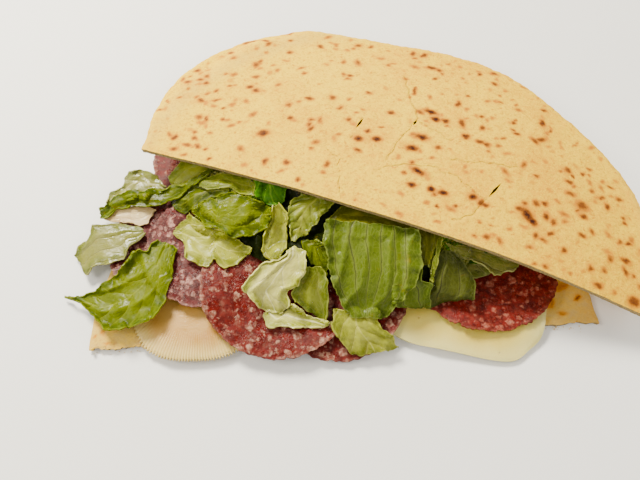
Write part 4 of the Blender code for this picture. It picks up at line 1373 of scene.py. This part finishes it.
upper, a, b = grid("bread_upper_half", *UPPER_CELLS)
rho, angle = disc_point(a, (b + 1) / 2)
rim_reach = eased(UPPER_RADII, np.degrees(angle))
uneven_rim = 0.5 * ripples(angle * UPPER_RADIUS, 11.0, 401) + 0.3 * ripples(angle * UPPER_RADIUS, 4.0, 402)
reach = rho * (rim_reach + uneven_rim * rho ** 6)
u, v = reach * np.cos(angle), reach * np.sin(angle)
x, y = upper_plan(u, v + 0.12 * ripples(u, 3.0, 403) * near(v, 1.5))
upper_heart = upper_plan(0, 60)
z = soften(laid_on("bread_top", x, y, upper_heart), 9)
crease = off_creases(u, v)
z = z + 0.14 * waves(u, v, 22.0, 406) + 0.06 * waves(u, v, 7.0, 407)
z = z + CREASE_RIDGE[0] * near(crease, CREASE_RIDGE[1]) - CREASE_CRACK[0] * near(crease, CREASE_CRACK[1])
z = z - RIM_DROP * near((1 - rho) * rim_reach, UPPER_RIM_BAND)
shape(upper, x, y, z)
upper.data.materials.append(bread_skin)
upper.data.materials.append(bread_crumb)
thicken(upper, BREAD, False, 1)

# Painted shade: the slits' walls are nearly black, where pale crumb lies in deep shade
slit_wall, slit_tree, slit_shader = new_material("slit_wall", 0.9)
slit_grain = noise(slit_tree, millimetres(slit_tree), 1.2, 4.0)
slit_tree.links.new(blend(slit_tree, slit_grain, *SLIT_SHADE_COLOURS), slit_shader.inputs["Base Color"])
upper.data.materials.append(slit_wall)
bpy.ops.object.select_all(action="DESELECT")
knives = []
for start, end in SLITS:
    (x0, y0), (x1, y1) = upper_plan(*start), upper_plan(*end)
    x, y = (x0 + x1) / 2, (y0 + y1) / 2
    top = laid_on("bread_top", np.array([x]), np.array([y]), upper_heart)[0]
    bpy.ops.mesh.primitive_cylinder_add(vertices=4, radius=0.5, depth=1)
    knife = bpy.context.object
    knife.data.materials.append(slit_wall)
    knife.scale = (math.hypot(x1 - x0, y1 - y0) * MM, SLIT_WIDTH * MM, 2 * SLIT_DEPTH * MM)
    knife.rotation_euler.z = math.atan2(y1 - y0, x1 - x0)
    knife.location = (x * MM, y * MM, top * MM)
    knives.append(knife)
for knife in knives:
    knife.select_set(True)
bpy.context.view_layer.objects.active = knives[0]
bpy.ops.object.join()
select_only(upper)
cut = upper.modifiers.new("slits", "BOOLEAN")
cut.operation = "DIFFERENCE"
cut.object = knives[0]
cut.solver = "MANIFOLD"
bpy.ops.object.modifier_apply(modifier=cut.name)
bpy.data.objects.remove(knives[0], do_unlink=True)

u, v = upper_local(*points_of(upper)[:2])
upper_spots = [*UPPER_SCORCH, *random_spots(UPPER_SPOTS, in_upper, UPPER_SCORCH, 411)]
mark(upper, "scorch", scorch(u, v, upper_spots, 412))
mark(upper, "crease", off_creases(u, v))
mark(upper, "toasted", UPPER_TOASTED * near(1.02 - np.hypot(u, v) / UPPER_RADIUS, 0.05))
finish_piece(upper, "bread", "bread_top")


# Crumbs: bits of the dry dough that the knife tore from the cut edge, strewn by a seeded draw on the lower
# half and on the floor just before it. One more, the largest, sticks in the edge at its left end.
CRUMBS = 56
CRUMB_RADIUS = (0.2, 0.5)
# Spread about the cut edge, and how far out from it they lie on average
CRUMB_SPREAD = 1.6
CRUMB_OUT = 0.6
CRUMB_TOASTED = 0.7
# Where they lie along the cut edge: left of the cheese, and right of it
CRUMB_AT = ((-138.0, -112.0), (106.0, 134.0))

draw = np.random.default_rng(850)
places = [Matrix.Translation(Vector((CRUMB_AT[0][0], LOWER_CUT_Y, BREAD)) * MM)]
for number in range(CRUMBS):
    radius = draw.uniform(*CRUMB_RADIUS)
    x, off = draw.uniform(*CRUMB_AT[number % 2]), draw.normal(0, CRUMB_SPREAD)
    low = BREAD if off > 0 else 0.0
    turn = Matrix.Rotation(draw.uniform(0, math.pi), 4, draw.normal(0, 1, 3))
    size = Matrix.Diagonal((radius, radius * draw.uniform(0.6, 1), radius * draw.uniform(0.5, 0.9), 1.0))
    place = Vector((x, LOWER_CUT_Y + off - CRUMB_OUT, low + radius)) * MM
    places.append(Matrix.Translation(place) @ turn @ size)
crumbs = strewn("bread_crumbs", places)
crumbs.data.materials.append(bread_skin)
for key, value in {"scorch": 0.0, "crease": NO_CREASE, "toasted": CRUMB_TOASTED}.items():
    mark(crumbs, key, np.full(len(crumbs.data.vertices), value))
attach(crumbs, "root")
